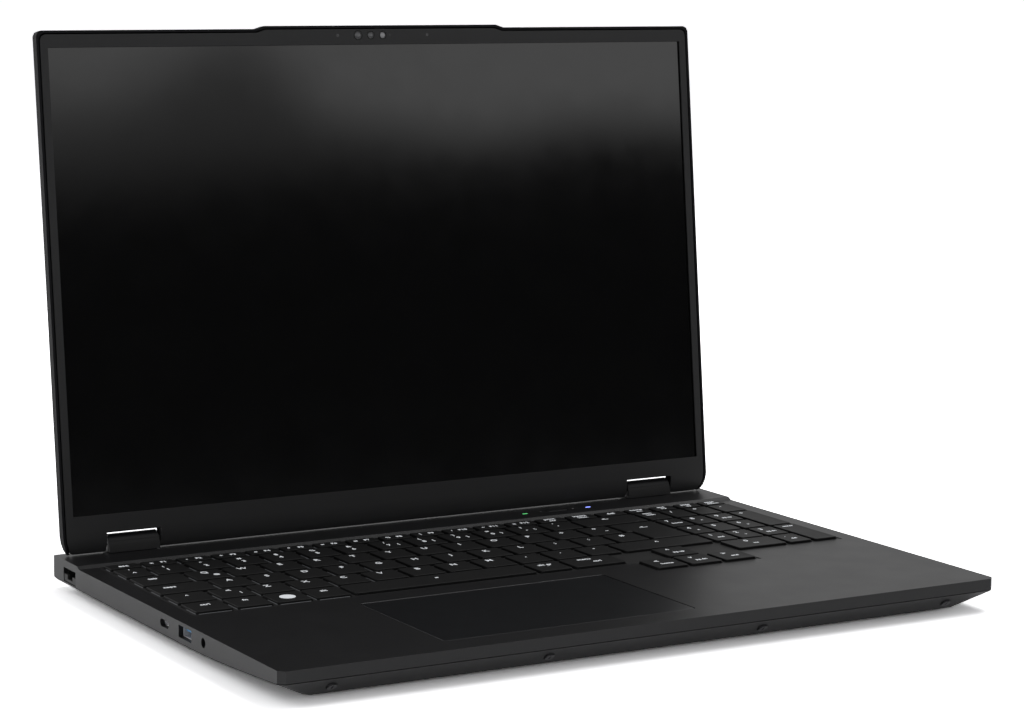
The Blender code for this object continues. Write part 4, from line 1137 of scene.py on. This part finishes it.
@dataclass
class Lid:
    """The lid: cover, bezel, screen, lenses, shutter and hinge arms.

    Attributes:
        microphone_x: Distance of each microphone hole from the middle.
        pinhole_x: Place of the camera's indicator hole.
        hole_radius: Radius of a microphone hole.
        pinhole_share: The indicator hole's radius, as a share of it.
        cup_bore: A hole's bore and floor, as shares of its radius.
        cup_levels: Heights of a hole's foot, floor and rim from the display frame's face.
        lens_ring: Thickness of the ring round a lens.
        lens_inset: How far a lens stays inside its ring.
        lens_levels: Heights of a lens's shoulder and of its dome's foot below the face.
        dome: Height of a lens's dome, and how far it draws in, as a share of the radius.
        dome_steps: Number of steps in the dome.
        notch: Inner and outer edge of the room that each hinge has in the chin.
        shade_strip: Section (y, z) of the dark strips below the chin that give the painted shade there, from
            the hinge axis.
        shade_strip_end: How far those strips end inside the display frame's edge.
    """

    microphone_x: float = 0.0245
    pinhole_x: float = 0.0039
    hole_radius: float = 0.0006
    pinhole_share: float = 0.6
    cup_bore: tuple[float, float] = (0.6, 0.62)
    cup_levels: Point = (-0.0004, -0.00002, 0.00003)
    lens_ring: float = 0.0003
    lens_inset: float = 0.0002
    lens_levels: tuple[float, float] = (-0.0006, -0.00035)
    dome: tuple[float, float] = (0.00030, 0.9)
    dome_steps: int = 6
    notch: tuple[float, float] = (0.1288, 0.1564)
    shade_strip: tuple[tuple[float, float], ...] = (
        (-0.00048, -0.00388), (0.0, -0.00406), (0.0004, -0.0041), (0.0008, -0.0038), (0.00105, -0.0032),
        (0.00105, -0.0026), (-0.0003, -0.0026))
    shade_strip_end: float = 0.0040

    def build(self) -> None:
        """Builds the lid's pieces."""
        refined("lid_back_cover", "lid", "lid", LID_PAINT, 0.0003)
        refined("display_bezel", "lid", "bezel", BEZEL_PLASTIC, 0.0002)
        refined("display_panel", "lid", "screen", SCREEN_GLASS, 0.0)
        for side in ("left", "right"):
            refined(f"hinge_arm_{side}", "lid", "steel", STEEL, 0.0001)
        refined("webcam_board", "lid", "board", SOLDER_MASK, 0.0)
        refined("camera_shutter", "camera_shutter", "shutter", SHUTTER_PLASTIC, 0.00015)
        for node, glass in (("infrared_lens", SENSOR_GLASS), ("light_sensor_window", SENSOR_GLASS),
                            ("camera_lens", LENS_GLASS)):
            self._lens(node, glass)
        self._holes()
        self._shade_strips()

    def _shade_strips(self) -> None:
        """Dark strips below the chin, beside and between the hinges, put there for painted shade: they stop
        the light through the gap under the chin.
        """
        half = self._local("display_bezel")[1].x - self.shade_strip_end
        inner, outer = self.notch
        for name, low, high in (("chin_seal_left", -half, -outer), ("chin_seal_middle", -inner, inner),
                                ("chin_seal_right", outer, half)):
            strip = Solid(PLACES.lid)
            strip.loft([[(x, y, z) for y, z in self.shade_strip] for x in (low, high)])
            strip.piece(name, "lid", (SHUTTER_PLASTIC,))

    def _local(self, node: str) -> tuple[Vector, Vector]:
        """The corners of a node of the lid, as its pieces are drawn.

        Args:
            node: The CAD node.

        Returns:
            Its lowest and its highest corner.
        """
        back = PLACES.lid.inverted()
        points = [back @ v.co for v in frame["nodes"][node].data.vertices]
        return (Vector([min(p[i] for p in points) for i in range(3)]),
                Vector([max(p[i] for p in points) for i in range(3)]))

    def _lens(self, node: str, glass: Finish) -> None:
        """A domed lens behind a fine ring.

        Args:
            node: The CAD node that it stands for.
            glass: The lens's finish.
        """
        low, high = self._local(node)
        radius = (high.x - low.x) / 2
        depth = high.y - low.y
        middle = Vector(((low.x + high.x) / 2, low.y, (low.z + high.z) / 2))
        lens = Solid(PLACES.lid @ Matrix.Translation(middle) @ Matrix.Rotation(math.pi / 2, 4, "X"))
        shoulder, foot = self.lens_levels
        rise, draw = self.dome
        turns = [math.pi / 2 * i / self.dome_steps for i in range(self.dome_steps)]
        dome = [(radius * (1 - math.cos(turn)) * draw + self.lens_inset, foot + rise * math.sin(turn))
                for turn in turns]
        lens.stack(circle(radius), [(self.lens_inset, -depth), (self.lens_inset, shoulder), *dome], finish=1)
        lens.ring(circle(radius), circle(radius - self.lens_ring), -depth, 0.0)
        lens.piece(node + "_fine", "lid", (LENS_RING, glass), [node])

    def _holes(self) -> None:
        """The microphone holes and the indicator's pinhole, as thin dark cups in the bezel."""
        low, high = self._local("camera_lens")
        height = (low.z + high.z) / 2
        front = self._local("display_bezel")[0].y
        bore, floor = self.cup_bore
        foot, fill, rim = self.cup_levels
        for name, x, radius in (("microphone_hole_left", -self.microphone_x, self.hole_radius),
                                ("microphone_hole_right", self.microphone_x, self.hole_radius),
                                ("indicator_pinhole", self.pinhole_x, self.hole_radius * self.pinhole_share)):
            spot = Matrix.Translation((x, front, height))
            cup = Solid(PLACES.lid @ spot @ Matrix.Rotation(math.pi / 2, 4, "X"))
            cup.ring(circle(radius, 24), circle(radius * bore, 24), foot, rim)
            cup.stack(circle(radius * floor, 24), [(0.0, foot), (0.0, fill)], finish=1)
            cup.piece(name, "lid", (SENSOR_GLASS, DARK_PLASTIC))


# Keyboard


class Glyphs:
    """Lettering as thin closed meshes, each text made once at unit size.

    Attributes:
        thickness: Half the thickness of a text at unit size.
        boldness: How far its strokes are widened.
        flatness: Thickness of a stamped text, as a share of the one at unit size.
        made: The meshes made so far.
    """

    thickness = 0.02
    boldness = 0.003
    flatness = 0.004

    def __init__(self) -> None:
        """Starts with no text made."""
        self.made: dict[str, bpy.types.Mesh] = {}

    def mesh(self, text: str) -> bpy.types.Mesh:
        """Makes the mesh of a text, centred on the origin.

        Args:
            text: Letters, figures or signs.

        Returns:
            The mesh.
        """
        if text not in self.made:
            curve = bpy.data.curves.new("glyph", "FONT")
            curve.body = text
            curve.align_x = "CENTER"
            curve.align_y = "CENTER"
            curve.extrude = self.thickness
            curve.offset = self.boldness
            curve.resolution_u = 3
            obj = linked("glyph", curve)
            self.made[text] = evaluated_mesh(obj)
            bpy.data.objects.remove(obj)
        return self.made[text]

    def stamp(self, bm: bmesh.types.BMesh, text: str, x: float, y: float, z: float, size: float) -> None:
        """Adds a text to a mesh.

        Args:
            bm: The mesh under construction.
            text: The text.
            x: Centre along X.
            y: Centre along Y.
            z: Height of its middle.
            size: Letter size.
        """
        first = len(bm.verts)
        bm.from_mesh(self.mesh(text))
        bm.verts.ensure_lookup_table()
        for vert in bm.verts[first:]:
            vert.co = (x + vert.co.x * size, y + vert.co.y * size, z + vert.co.z * self.flatness)


GLYPHS = Glyphs()


@dataclass(frozen=True)
class Mark:
    """One text on a keycap, with its lengths in millimetres.

    Attributes:
        text: What it says.
        x: Offset from the cap's centre, or from its left edge where from_left is set.
        back: Distance from the cell's rear edge.
        size: Letter size.
        from_left: Whether x counts from the cell's left edge.
    """

    text: str
    x: float = 0.0
    back: float = 5.5
    size: float = 5.0
    from_left: bool = False


@dataclass(frozen=True)
class Cell:
    """The space of one key in the base's frame.

    Attributes:
        left: Its left edge.
        right: Its right edge.
        front: Its front edge.
        back: Its rear edge.
    """

    left: float
    right: float
    front: float
    back: float


def letter(text: str) -> list[Mark]:
    """Marks a letter key.

    Args:
        text: The letter, and a sign at the lower right if there is one.

    Returns:
        The key's marks.
    """
    marks = [Mark(text[0])]
    if len(text) > 1:
        marks.append(Mark(text[1], 3.6, 11.0, 3.4))
    return marks


def figure(text: str, x: float = -1.0) -> list[Mark]:
    """Marks a figure key.

    Args:
        text: The sign behind, the figure, and a sign at the lower right if there is one.
        x: Offset of the first two from the cap's centre.

    Returns:
        The key's marks.
    """
    marks = [Mark(text[0], x, 4.6, 4.2), Mark(text[1], x, 10.4, 4.6)]
    if len(text) > 2:
        marks.append(Mark(text[2], 3.8, 10.4, 3.4))
    return marks


def word(text: str, x: float = 10.0) -> list[Mark]:
    """A word near the left edge of a wide key."""
    return [Mark(text, x, 6.5, 3.9, True)]


def function(sign: str, text: str) -> list[Mark]:
    """A sign beside the number of a function key."""
    return [Mark(sign, -3.6, 5.0, 3.6), Mark(text, 2.4, 5.0, 3.6)]


def stacked(upper: str, lower: str, size: float = 3.4) -> list[Mark]:
    """Two short words, one behind the other."""
    return [Mark(upper, 0.0, 3.2, size), Mark(lower, 0.0, 6.8, size)]


def numpad(text: str, small: str) -> list[Mark]:
    """Marks a key of the number pad.

    Args:
        text: The figure or sign.
        small: The small word in front of it, or nothing.

    Returns:
        The key's marks.
    """
    marks = [Mark(text, -1.6, 5.5, 4.8)]
    if small:
        marks.append(Mark(small, 0.6, 11.0, 2.9))
    return marks


@dataclass
class Keyboard:
    """The keycaps with their lettering, the frame around them and the plate below.

    Attributes:
        gap: Space between two caps.
        corner: Corner radius of a cap.
        shoulder: Radius of a cap's upper edge.
        shoulder_turns: Angles of the points round that edge, in degrees.
        dish: Distance from a cap's side, and depth, of each step of its dished face.
        skirt: Height of a cap's foot.
        pitch: Width of a letter key's cell.
        numpad_pitch: Width of a number pad key's cell.
        row: Depth of a row.
        print_drop: Depth of the lettering's middle below the highest part of a cap.
        print_scale: Size of the lettering, as a share of the sizes below.
        disc_radius: Radius of the plain disc on the third key of the bottom row.
        disc_levels: Bottom and top of the disc, from the cap's highest part.
        enter_print: Place of the enter key's sign from its middle and its rear edge, and its lift.
        enter_size: Size of that sign.
        web: Bottom and top of the web that joins a row's caps.
        glint_reach: Place along X up to which caps get painted glints at their edges.
        glint_share: Share of a cap's depth along which its painted glint runs at the left.
        glint_thickness: Thickness of a painted glint line.
        glint_levels: Bottom and top of a painted glint line.
    """

    gap: float = 0.0022
    corner: float = 0.0010
    shoulder: float = 0.00030
    shoulder_turns: tuple[float, ...] = (0.0, 30.0, 60.0, 90.0)
    dish: tuple[tuple[float, float], ...] = ((0.0016, 0.00004), (0.0030, 0.00008))
    skirt: float = -0.0018
    pitch: float = 0.0188
    numpad_pitch: float = 0.01475
    row: float = 0.0190
    print_drop: float = 0.00004
    print_scale: float = 0.90
    disc_radius: float = 0.0036
    disc_levels: tuple[float, float] = (-0.0001, 0.00003)
    enter_print: Point = (0.001, -0.011, 0.00001)
    enter_size: float = 0.0050
    web: tuple[float, float] = (-0.0023, -0.0017)
    glint_reach: float = -0.045
    glint_share: float = 0.55
    glint_thickness: float = 0.00012
    glint_levels: tuple[float, float] = (-0.0004, 0.00002)

    def build(self) -> None:
        """Builds each row of keys, the enter key, the frame and the plate."""
        refined("keyboard_frame", "base", "frame", WELL_PLASTIC, 0.00008, 2)
        refined("keyboard_backplate", "base", "steel", STEEL, 0.0)
        self._row("keys_function_row", self._function_cells(), self._function_marks())
        figures = ("'^", "!1", '"2', "#3", "$4", "%5", "&6", "/7{", "(8[", ")9]", "=0}", "?-\\", "`'")
        self._row("keys_number_row", self._run("keys_number_row", 0.0158, 12, True),
                  [figure(text, 0.0 if text == "'^" else -1.0) for text in figures]
                  + [[Mark("<-", size=4.6)]])
        for node, first, edge_text, texts, rest in (
                ("keys_upper_row", 0.0261, "tab", "Q@ W E R T Y U I O P + *~", []),
                ("keys_home_row", 0.0295, "caps", "A S D F G H J K L ; : #", []),
                ("keys_lower_row", 0.0206, "^", "<| Z X C V B N M , . -", [[Mark("^", 0.0, 6.5)]])):
            letters = texts.split(" ")
            self._row(node, self._run(node, first, len(letters), bool(rest)),
                      [word(edge_text)] + [letter(text) for text in letters] + rest)
        self._row("keys_bottom_left", self._run("keys_bottom_left", 0.0195, 3, False),
                  [word("ctrl"), [Mark("fn", 0.0, 6.5, 3.9)], [], [Mark("alt", 0.0, 6.5, 3.9)]], disc=2)
        self._row("space_bar", self._run("space_bar", None, 0, True), [[Mark("=", 0.0, 7.0, 3.6)]])
        self._row("keys_bottom_right", self._run("keys_bottom_right", self.pitch, 0, True),
                  [[Mark("alt gr", 0.0, 6.5, 3.9)],
                   [Mark("menu", -2.0, 5.0, 3.6), Mark("ctrl", 2.0, 10.5, 3.6)]])
        self._row("keys_arrows", self._arrow_cells(),
                  [[Mark(sign, -1.5), Mark(small, 1.0, 11.0, 3.2)]
                   for sign, small in (("^", "pg up"), ("<", "home"), ("v", "pg dn"), (">", "end"))])
        self._row("keys_numpad", self._numpad_cells(), self._numpad_marks())
        self._enter()

    def _span(self, node: str) -> Cell:
        """The cell that a node's caps fill.

        Args:
            node: The CAD node.

        Returns:
            The cell, half a gap wider than the node on each side.
        """
        low, high = PLACES.box(node)
        half = self.gap / 2
        return Cell(low.x - half, high.x + half, low.y - half, high.y + half)

    def _run(self, node: str, first: float | None, count: int, last: bool) -> list[Cell]:
        """Cells side by side over a node's span.

        Args:
            node: The node.
            first: Width of the first cell, or None for no such cell.
            count: Number of letter cells.
            last: Whether one more cell fills what is left.

        Returns:
            The cells from left to right.
        """
        span = self._span(node)
        edges = [span.left]
        if first is not None:
            edges.append(span.left + first)
        edges += [edges[-1] + self.pitch * (i + 1) for i in range(count)]
        if last:
            edges.append(span.right)
        return [Cell(a, b, span.front, span.back) for a, b in zip(edges, edges[1:])]

    def _function_cells(self) -> list[Cell]:
        """Sixteen equal cells over the main block and four over the number pad.

        Returns:
            The cells from left to right.
        """
        span = self._span("keys_function_row")
        split = span.right - 4 * self.numpad_pitch
        main = (split - span.left) / 16
        edges = [span.left + main * i for i in range(16)] + [split + self.numpad_pitch * i for i in range(5)]
        return [Cell(a, b, span.front, span.back) for a, b in zip(edges, edges[1:])]

    def _function_marks(self) -> list[list[Mark]]:
        """Lettering of the function row.

        Returns:
            The marks of each key.
        """
        signs = "x-+o*=#%|/~x"
        marks = [[Mark("esc", 0.0, 5.0, 4.2)]]
        marks += [function(sign, f"F{i + 1}") for i, sign in enumerate(signs)]
        marks += [stacked("print", "scr", 3.6), stacked("insert", "lock", 3.6),
                  [Mark("del", 0.0, 5.0, 4.2)]]
        pad = (("home", "<<"), ("end", ">>"), ("page", "up"), ("page", "down"))
        return marks + [stacked(*words) for words in pad]

    def _arrow_cells(self) -> list[Cell]:
        """The cells of the arrow keys.

        Returns:
            The up key's, then the three lower keys'.
        """
        span = self._span("keys_arrows")
        middle = (span.front + span.back) / 2
        lower = [Cell(span.left + self.pitch * i, span.left + self.pitch * (i + 1), span.front, middle)
                 for i in range(3)]
        return [Cell(lower[1].left, lower[1].right, middle, span.back), *lower]

    def _numpad_cells(self) -> list[Cell]:
        """The cells of the number pad.

        Returns:
            Four keys', three rows of three, a wide zero's with its point's, and two tall ones at the right.
        """
        span = self._span("keys_numpad")
        xs = [span.left + self.numpad_pitch * i for i in range(5)]
        ys = [span.front + self.row * i for i in range(6)]
        cells = [Cell(xs[i], xs[i + 1], ys[4], ys[5]) for i in range(4)]
        cells += [Cell(xs[i], xs[i + 1], ys[row], ys[row + 1]) for row in (3, 2, 1) for i in range(3)]
        cells += [Cell(xs[0], xs[2], ys[0], ys[1]), Cell(xs[2], xs[3], ys[0], ys[1])]
        return cells + [Cell(xs[3], xs[4], ys[2], ys[4]), Cell(xs[3], xs[4], ys[0], ys[2])]

    def _numpad_marks(self) -> list[list[Mark]]:
        """Lettering of the number pad.

        Returns:
            The marks of each key.
        """
        top = [stacked("num", "lock", 3.2), numpad("/", ""), numpad("*", ""), numpad("-", "")]
        figures = [("7", "home"), ("8", "^"), ("9", "pg up"), ("4", "<"), ("5", ""), ("6", ">"),
                   ("1", "end"), ("2", "v"), ("3", "pg dn"), ("0", "ins"), (".", "del")]
        tall = [numpad("+", ""), [Mark("enter", 0.0, 5.0, 3.2)]]
        return top + [numpad(*pair) for pair in figures] + tall

    def _cap(self, solid: Solid, cell: Cell, top: float) -> None:
        """Adds one cap: straight sides, a rounded shoulder and a slightly dished face.

        Args:
            solid: The mesh under construction.
            cell: The cap's cell.
            top: Height of its highest part.
        """
        half = self.gap / 2
        outline = rounded_rectangle((cell.right - cell.left) / 2 - half, (cell.back - cell.front) / 2 - half,
                                    self.corner, 4)
        shoulder = [(self.shoulder * (1 - math.cos(a)), top - self.shoulder * (1 - math.sin(a)))
                    for a in (math.radians(turn) for turn in self.shoulder_turns)]
        dish = [(inset, top - depth) for inset, depth in self.dish]
        solid.stack(outline, [(0.0, self.skirt), *shoulder, *dish],
                    ((cell.left + cell.right) / 2, (cell.front + cell.back) / 2, 0.0))

    def _row(self, node: str, cells: Sequence[Cell], marks: Sequence[Sequence[Mark]],
             disc: int | None = None) -> None:
        """Builds one body's caps, its lettering and, on its left part, glowing strips that paint glints at
        the caps' edges.

        Args:
            node: The CAD node that the caps stand for, and the body they ride on.
            cells: The caps' cells.
            marks: The texts on each cap.
            disc: Which cap carries the plain disc.
        """
        top = PLACES.box(node)[1].z
        caps = Solid(PLACES.base)
        for cell in cells:
            self._cap(caps, cell, top)
        for low, high in self._webs(node, cells[0]):
            caps.box(low, high)
        caps.piece(node + "_fine", node, (KEY_PLASTIC,), [node])
        ink = Solid(PLACES.base)
        for cell, texts in zip(cells, marks):
            middle = (cell.left + cell.right) / 2
            for mark in texts:
                x = cell.left + mark.x * MM if mark.from_left else middle + mark.x * MM
                GLYPHS.stamp(ink.bm, mark.text, x, cell.back - mark.back * MM, top - self.print_drop,
                             mark.size * MM * self.print_scale)
        if disc is not None:
            cell = cells[disc]
            ink.stack(circle(self.disc_radius), [(0.0, level) for level in self.disc_levels],
                      ((cell.left + cell.right) / 2, (cell.front + cell.back) / 2, top))
        ink.piece(node + "_lettering", node, (LEGEND_INK,))
        # Painted glints: glowing strips at the left edges of the caps on the keyboard's left part, and at the
        # front of the bottom-left keys.
        glinted = [cell for cell in cells if cell.right < self.glint_reach]
        if glinted:
            glow = Solid(PLACES.base)
            for cell in glinted:
                self._paint_glints(glow, cell, node == "keys_bottom_left")
            glow.piece(node + "_light", node, (PAINTED_GLINT,))

    def _webs(self, node: str, first: Cell) -> list[tuple[Point, Point]]:
        """The plates that join a row's caps from below.

        Args:
            node: The row's CAD node.
            first: The row's first cell, which is the up key's for the arrows.

        Returns:
            The lowest and highest corner of each plate.
        """
        if node == "space_bar":
            return []
        span = self._span(node)
        near, far = span.front + self.gap, span.back - self.gap
        plates = [(span.left, span.right, near, far)]
        if node == "keys_arrows":
            joint = span.front + self.row - self.gap
            plates = [(span.left, span.right, near, joint), (first.left, first.right, joint, far)]
        bottom, top = self.web
        return [((left + self.gap, front, bottom), (right - self.gap, back, top))
                for left, right, front, back in plates]

    def _paint_glints(self, solid: Solid, cell: Cell, front: bool) -> None:
        """Adds thin glowing lines at a cap's lower edges: painted glints, in the place of the keyboard light
        escaping below it.

        Args:
            solid: The mesh under construction.
            cell: The cap's cell.
            front: Whether the painted glint runs along the cap's front as well as its left.
        """
        half, thick = self.gap / 2, self.glint_thickness
        left, near = cell.left + half, cell.front + half
        bottom, top = self.glint_levels
        solid.box((left - thick, near + self.corner, bottom),
                  (left + thick, near + (cell.back - cell.front) * self.glint_share, top))
        if front:
            solid.box((left + self.corner, near - thick, bottom),
                      (cell.right - half - self.corner, near + thick, top))

    def _enter(self) -> None:
        """The tall enter key with its lettering."""
        refined("enter_key", "enter_key", "key", KEY_PLASTIC, 0.0003, 3, 40)
        low, high = PLACES.box("enter_key")
        x, y, z = self.enter_print
        ink = Solid(PLACES.base)
        GLYPHS.stamp(ink.bm, "<-", (low.x + high.x) / 2 + x, high.y + y, high.z + z, self.enter_size)
        ink.piece("enter_key_lettering", "enter_key", (LEGEND_INK,))


# Controls


@dataclass
class Controls:
    """The touchpad with a painted highlight on the deck's edge behind it, the power button, the status lights
    and the printed signs beside them.

    Attributes:
        sign_xs: Place along X of each printed sign.
        sign_size: Letter size of the signs.
        sign_lift: Height of the signs' middle above the deck's ridge.
        highlight_gap: Distance from the touchpad at which the painted highlight on the deck's cut edge starts
            and ends.
        highlight_levels: Bottom of that painted highlight from the touchpad's surface, and its top.
        rounding: Rounding of the touchpad's and the power button's edges.
        light_rounding: Rounding of the lights' edges.
    """

    sign_xs: tuple[float, float] = (0.0722, 0.0910)
    sign_size: float = 0.0026
    sign_lift: float = 0.00002
    highlight_gap: tuple[float, float] = (0.00025, 0.00055)
    highlight_levels: tuple[float, float] = (-0.0001, 0.00001)
    rounding: float = 0.00015
    light_rounding: float = 0.0001

    def build(self) -> None:
        """Builds the controls."""
        refined("touchpad", "touchpad", "touchpad", PAD_FILM, self.rounding)
        self._paint_pad_highlight()
        refined("power_button", "power_button", "deck", DECK_PAINT, self.rounding)
        refined("power_light", "base", "power_light", GREEN_LIGHT, self.light_rounding)
        refined("charge_light", "base", "charge_light", BLUE_LIGHT, self.light_rounding)
        low, high = PLACES.box("power_light")
        signs = Solid(PLACES.base)
        for text, x in zip(("n", "="), self.sign_xs):
            GLYPHS.stamp(signs.bm, text, x, (low.y + high.y) / 2, PLACES.ridge + self.sign_lift,
                         self.sign_size)
        signs.piece("status_signs", "base", (PRINT_GREY,))

    def _paint_pad_highlight(self) -> None:
        """A pale strip on the deck's cut edge behind the touchpad: a painted highlight."""
        low, high = PLACES.box("touchpad")
        near, far = self.highlight_gap
        bottom, top = self.highlight_levels
        edge = Solid(PLACES.base)
        edge.box((low.x, high.y + near, high.z + bottom), (high.x, high.y + far, top))
        edge.piece("touchpad_rear_edge", "base", (PAD_RIM_HIGHLIGHT,))


# Sockets


@dataclass
class Sockets:
    """The sockets in the side and rear walls.

    Attributes:
        rounding: Rounding of the sockets' edges.
        jaw_rounding: Rounding of the network socket's jaw.
        tongue: Width, thickness and depth of the large socket's tongue.
        tongue_gap: How far behind the mouth the tongue starts, and how much deeper it ends.
        tongue_lift: Height of its middle above the socket's.
        tongue_rounding: Rounding of its edges.
        pin: Length, width and thickness of a contact below the tongue.
        pin_place: Distance of the contacts from the mouth, and their depth below the tongue.
        pin_pitch: Distance between them.
        spring: Length, width and thickness of a contact of the network socket.
        spring_place: Distance of those contacts from the mouth, and their depth below the roof.
        spring_pitch: Distance between them.
    """

    rounding: float = 0.00008
    jaw_rounding: float = 0.0001
    tongue: Point = (0.0096, 0.0017, 0.0118)
    tongue_gap: tuple[float, float] = (0.0009, 0.0010)
    tongue_lift: float = 0.00085
    tongue_rounding: float = 0.00015
    pin: Point = (0.0080, 0.0008, 0.0002)
    pin_place: tuple[float, float] = (0.0062, 0.00005)
    pin_pitch: float = 0.0020
    spring: Point = (0.0090, 0.0005, 0.0003)
    spring_place: tuple[float, float] = (0.0075, 0.0010)
    spring_pitch: float = 0.00102

    def build(self) -> None:
        """Builds the sockets and their contacts."""
        plastic = ("plastic", DARK_PLASTIC, self.rounding)
        steel = ("steel", SOCKET_STEEL, self.rounding)
        for node, looks in (("network_port", plastic), ("usb_c_port", steel), ("usb_a_port_left", steel),
                            ("audio_jack", plastic), ("usb_a_port_right", steel), ("video_port", steel),
                            ("power_inlet", ("steel", STEEL, 0.0))):
            refined(node, "base", *looks, 2)
        refined("network_port_jaw", "network_port_jaw", "plastic", DARK_PLASTIC, self.jaw_rounding)
        self._tongue("usb_a_port_left", -1)
        self._tongue("usb_a_port_right", 1)
        self._network_pins()

    def _tongue(self, node: str, side: int) -> None:
        """The coloured tongue of a large socket, with four contacts on its underside.

        Args:
            node: The socket's CAD node.
            side: 1 where its mouth looks along +X, -1 where it looks the other way.
        """
        low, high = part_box(node)
        mouth = low.x if side < 0 else high.x
        middle = (low.y + high.y) / 2
        height = (low.z + high.z) / 2 + self.tongue_lift
        width, thick, depth = self.tongue
        gap, extra = self.tongue_gap
        inner, outer = mouth - side * (depth + extra), mouth - side * gap
        block = Solid(Matrix.Identity(4))
        block.box((min(inner, outer), middle - width / 2, height - thick / 2),
                  (max(inner, outer), middle + width / 2, height + thick / 2))
        block.piece(node + "_tongue", "base", (BLUE_PLASTIC,), bevel=self.tongue_rounding)
        setback, drop = self.pin_place
        spot = (mouth - side * setback, middle, height - thick / 2 - drop)
        self._contacts(node + "_contacts", 4, self.pin_pitch, self.pin, spot)

    def _network_pins(self) -> None:
        """Eight spring contacts in the roof of the network socket."""
        low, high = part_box("network_port")
        setback, drop = self.spring_place
        spot = (low.x + setback, (low.y + high.y) / 2, high.z - drop)
        self._contacts("network_contacts", 8, self.spring_pitch, self.spring, spot)

    def _contacts(self, name: str, count: int, pitch: float, size: Point, spot: Point) -> None:
        """A row of gold contacts.

        Args:
            name: The piece's name.
            count: How many there are.
            pitch: Distance between them.
            size: Length, width and thickness of one.
            spot: The middle of the row.
        """
        points = [(0, (i - (count - 1) / 2) * pitch, 0) for i in range(count)]
        pins = BlockField().grow(points, {"Size": size, "Material": GOLD.build()})
        place_grown(pins, name, Matrix.Translation(spot), "base")


# Inside


@dataclass
class Internals:
    """What the shells hold: cooling, boards, battery and speakers.

    Attributes:
        edge: Rounding of most edges.
        rotor_edge: Rounding of the fan rotors' edges.
        fin_edge: Rounding of the fins.
    """

    edge: float = 0.00012
    rotor_edge: float = 0.00006
    fin_edge: float = 0.00005

    def build(self) -> None:
        """Builds each inner piece."""
        for side in ("left", "right"):
            refined(f"fan_housing_{side}", "base", "plastic", DARK_PLASTIC, self.edge)
            refined(f"fan_rotor_{side}", f"fan_rotor_{side}", "plastic", DARK_PLASTIC, self.rotor_edge, 2)
            refined(f"heat_sink_{side}", "base", "copper", COPPER, self.fin_edge, 1)
            refined(f"speaker_{side}", "base", "plastic", DARK_PLASTIC, self.edge)
        refined("heat_pipe", "base", "copper", COPPER, self.edge)
        refined("battery_pack", "base", "battery", BATTERY_WRAP, self.edge)
        for node in ("mainboard", "memory_module", "wireless_card", "solid_state_drive"):
            refined(node, "base", "board", SOLDER_MASK, 0.0)


def main() -> None:
    """Builds the stage and every sub-assembly, in order."""
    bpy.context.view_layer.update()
    build_grain_group()
    build_wear_group()
    build_dust_group()
    for assembly in (Studio(), Enclosure(), Lid(), Keyboard(), Controls(), Sockets(), Internals()):
        assembly.build()
        LOG.info("%s done", type(assembly).__name__)
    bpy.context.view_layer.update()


if __name__ == "__main__":
    main()
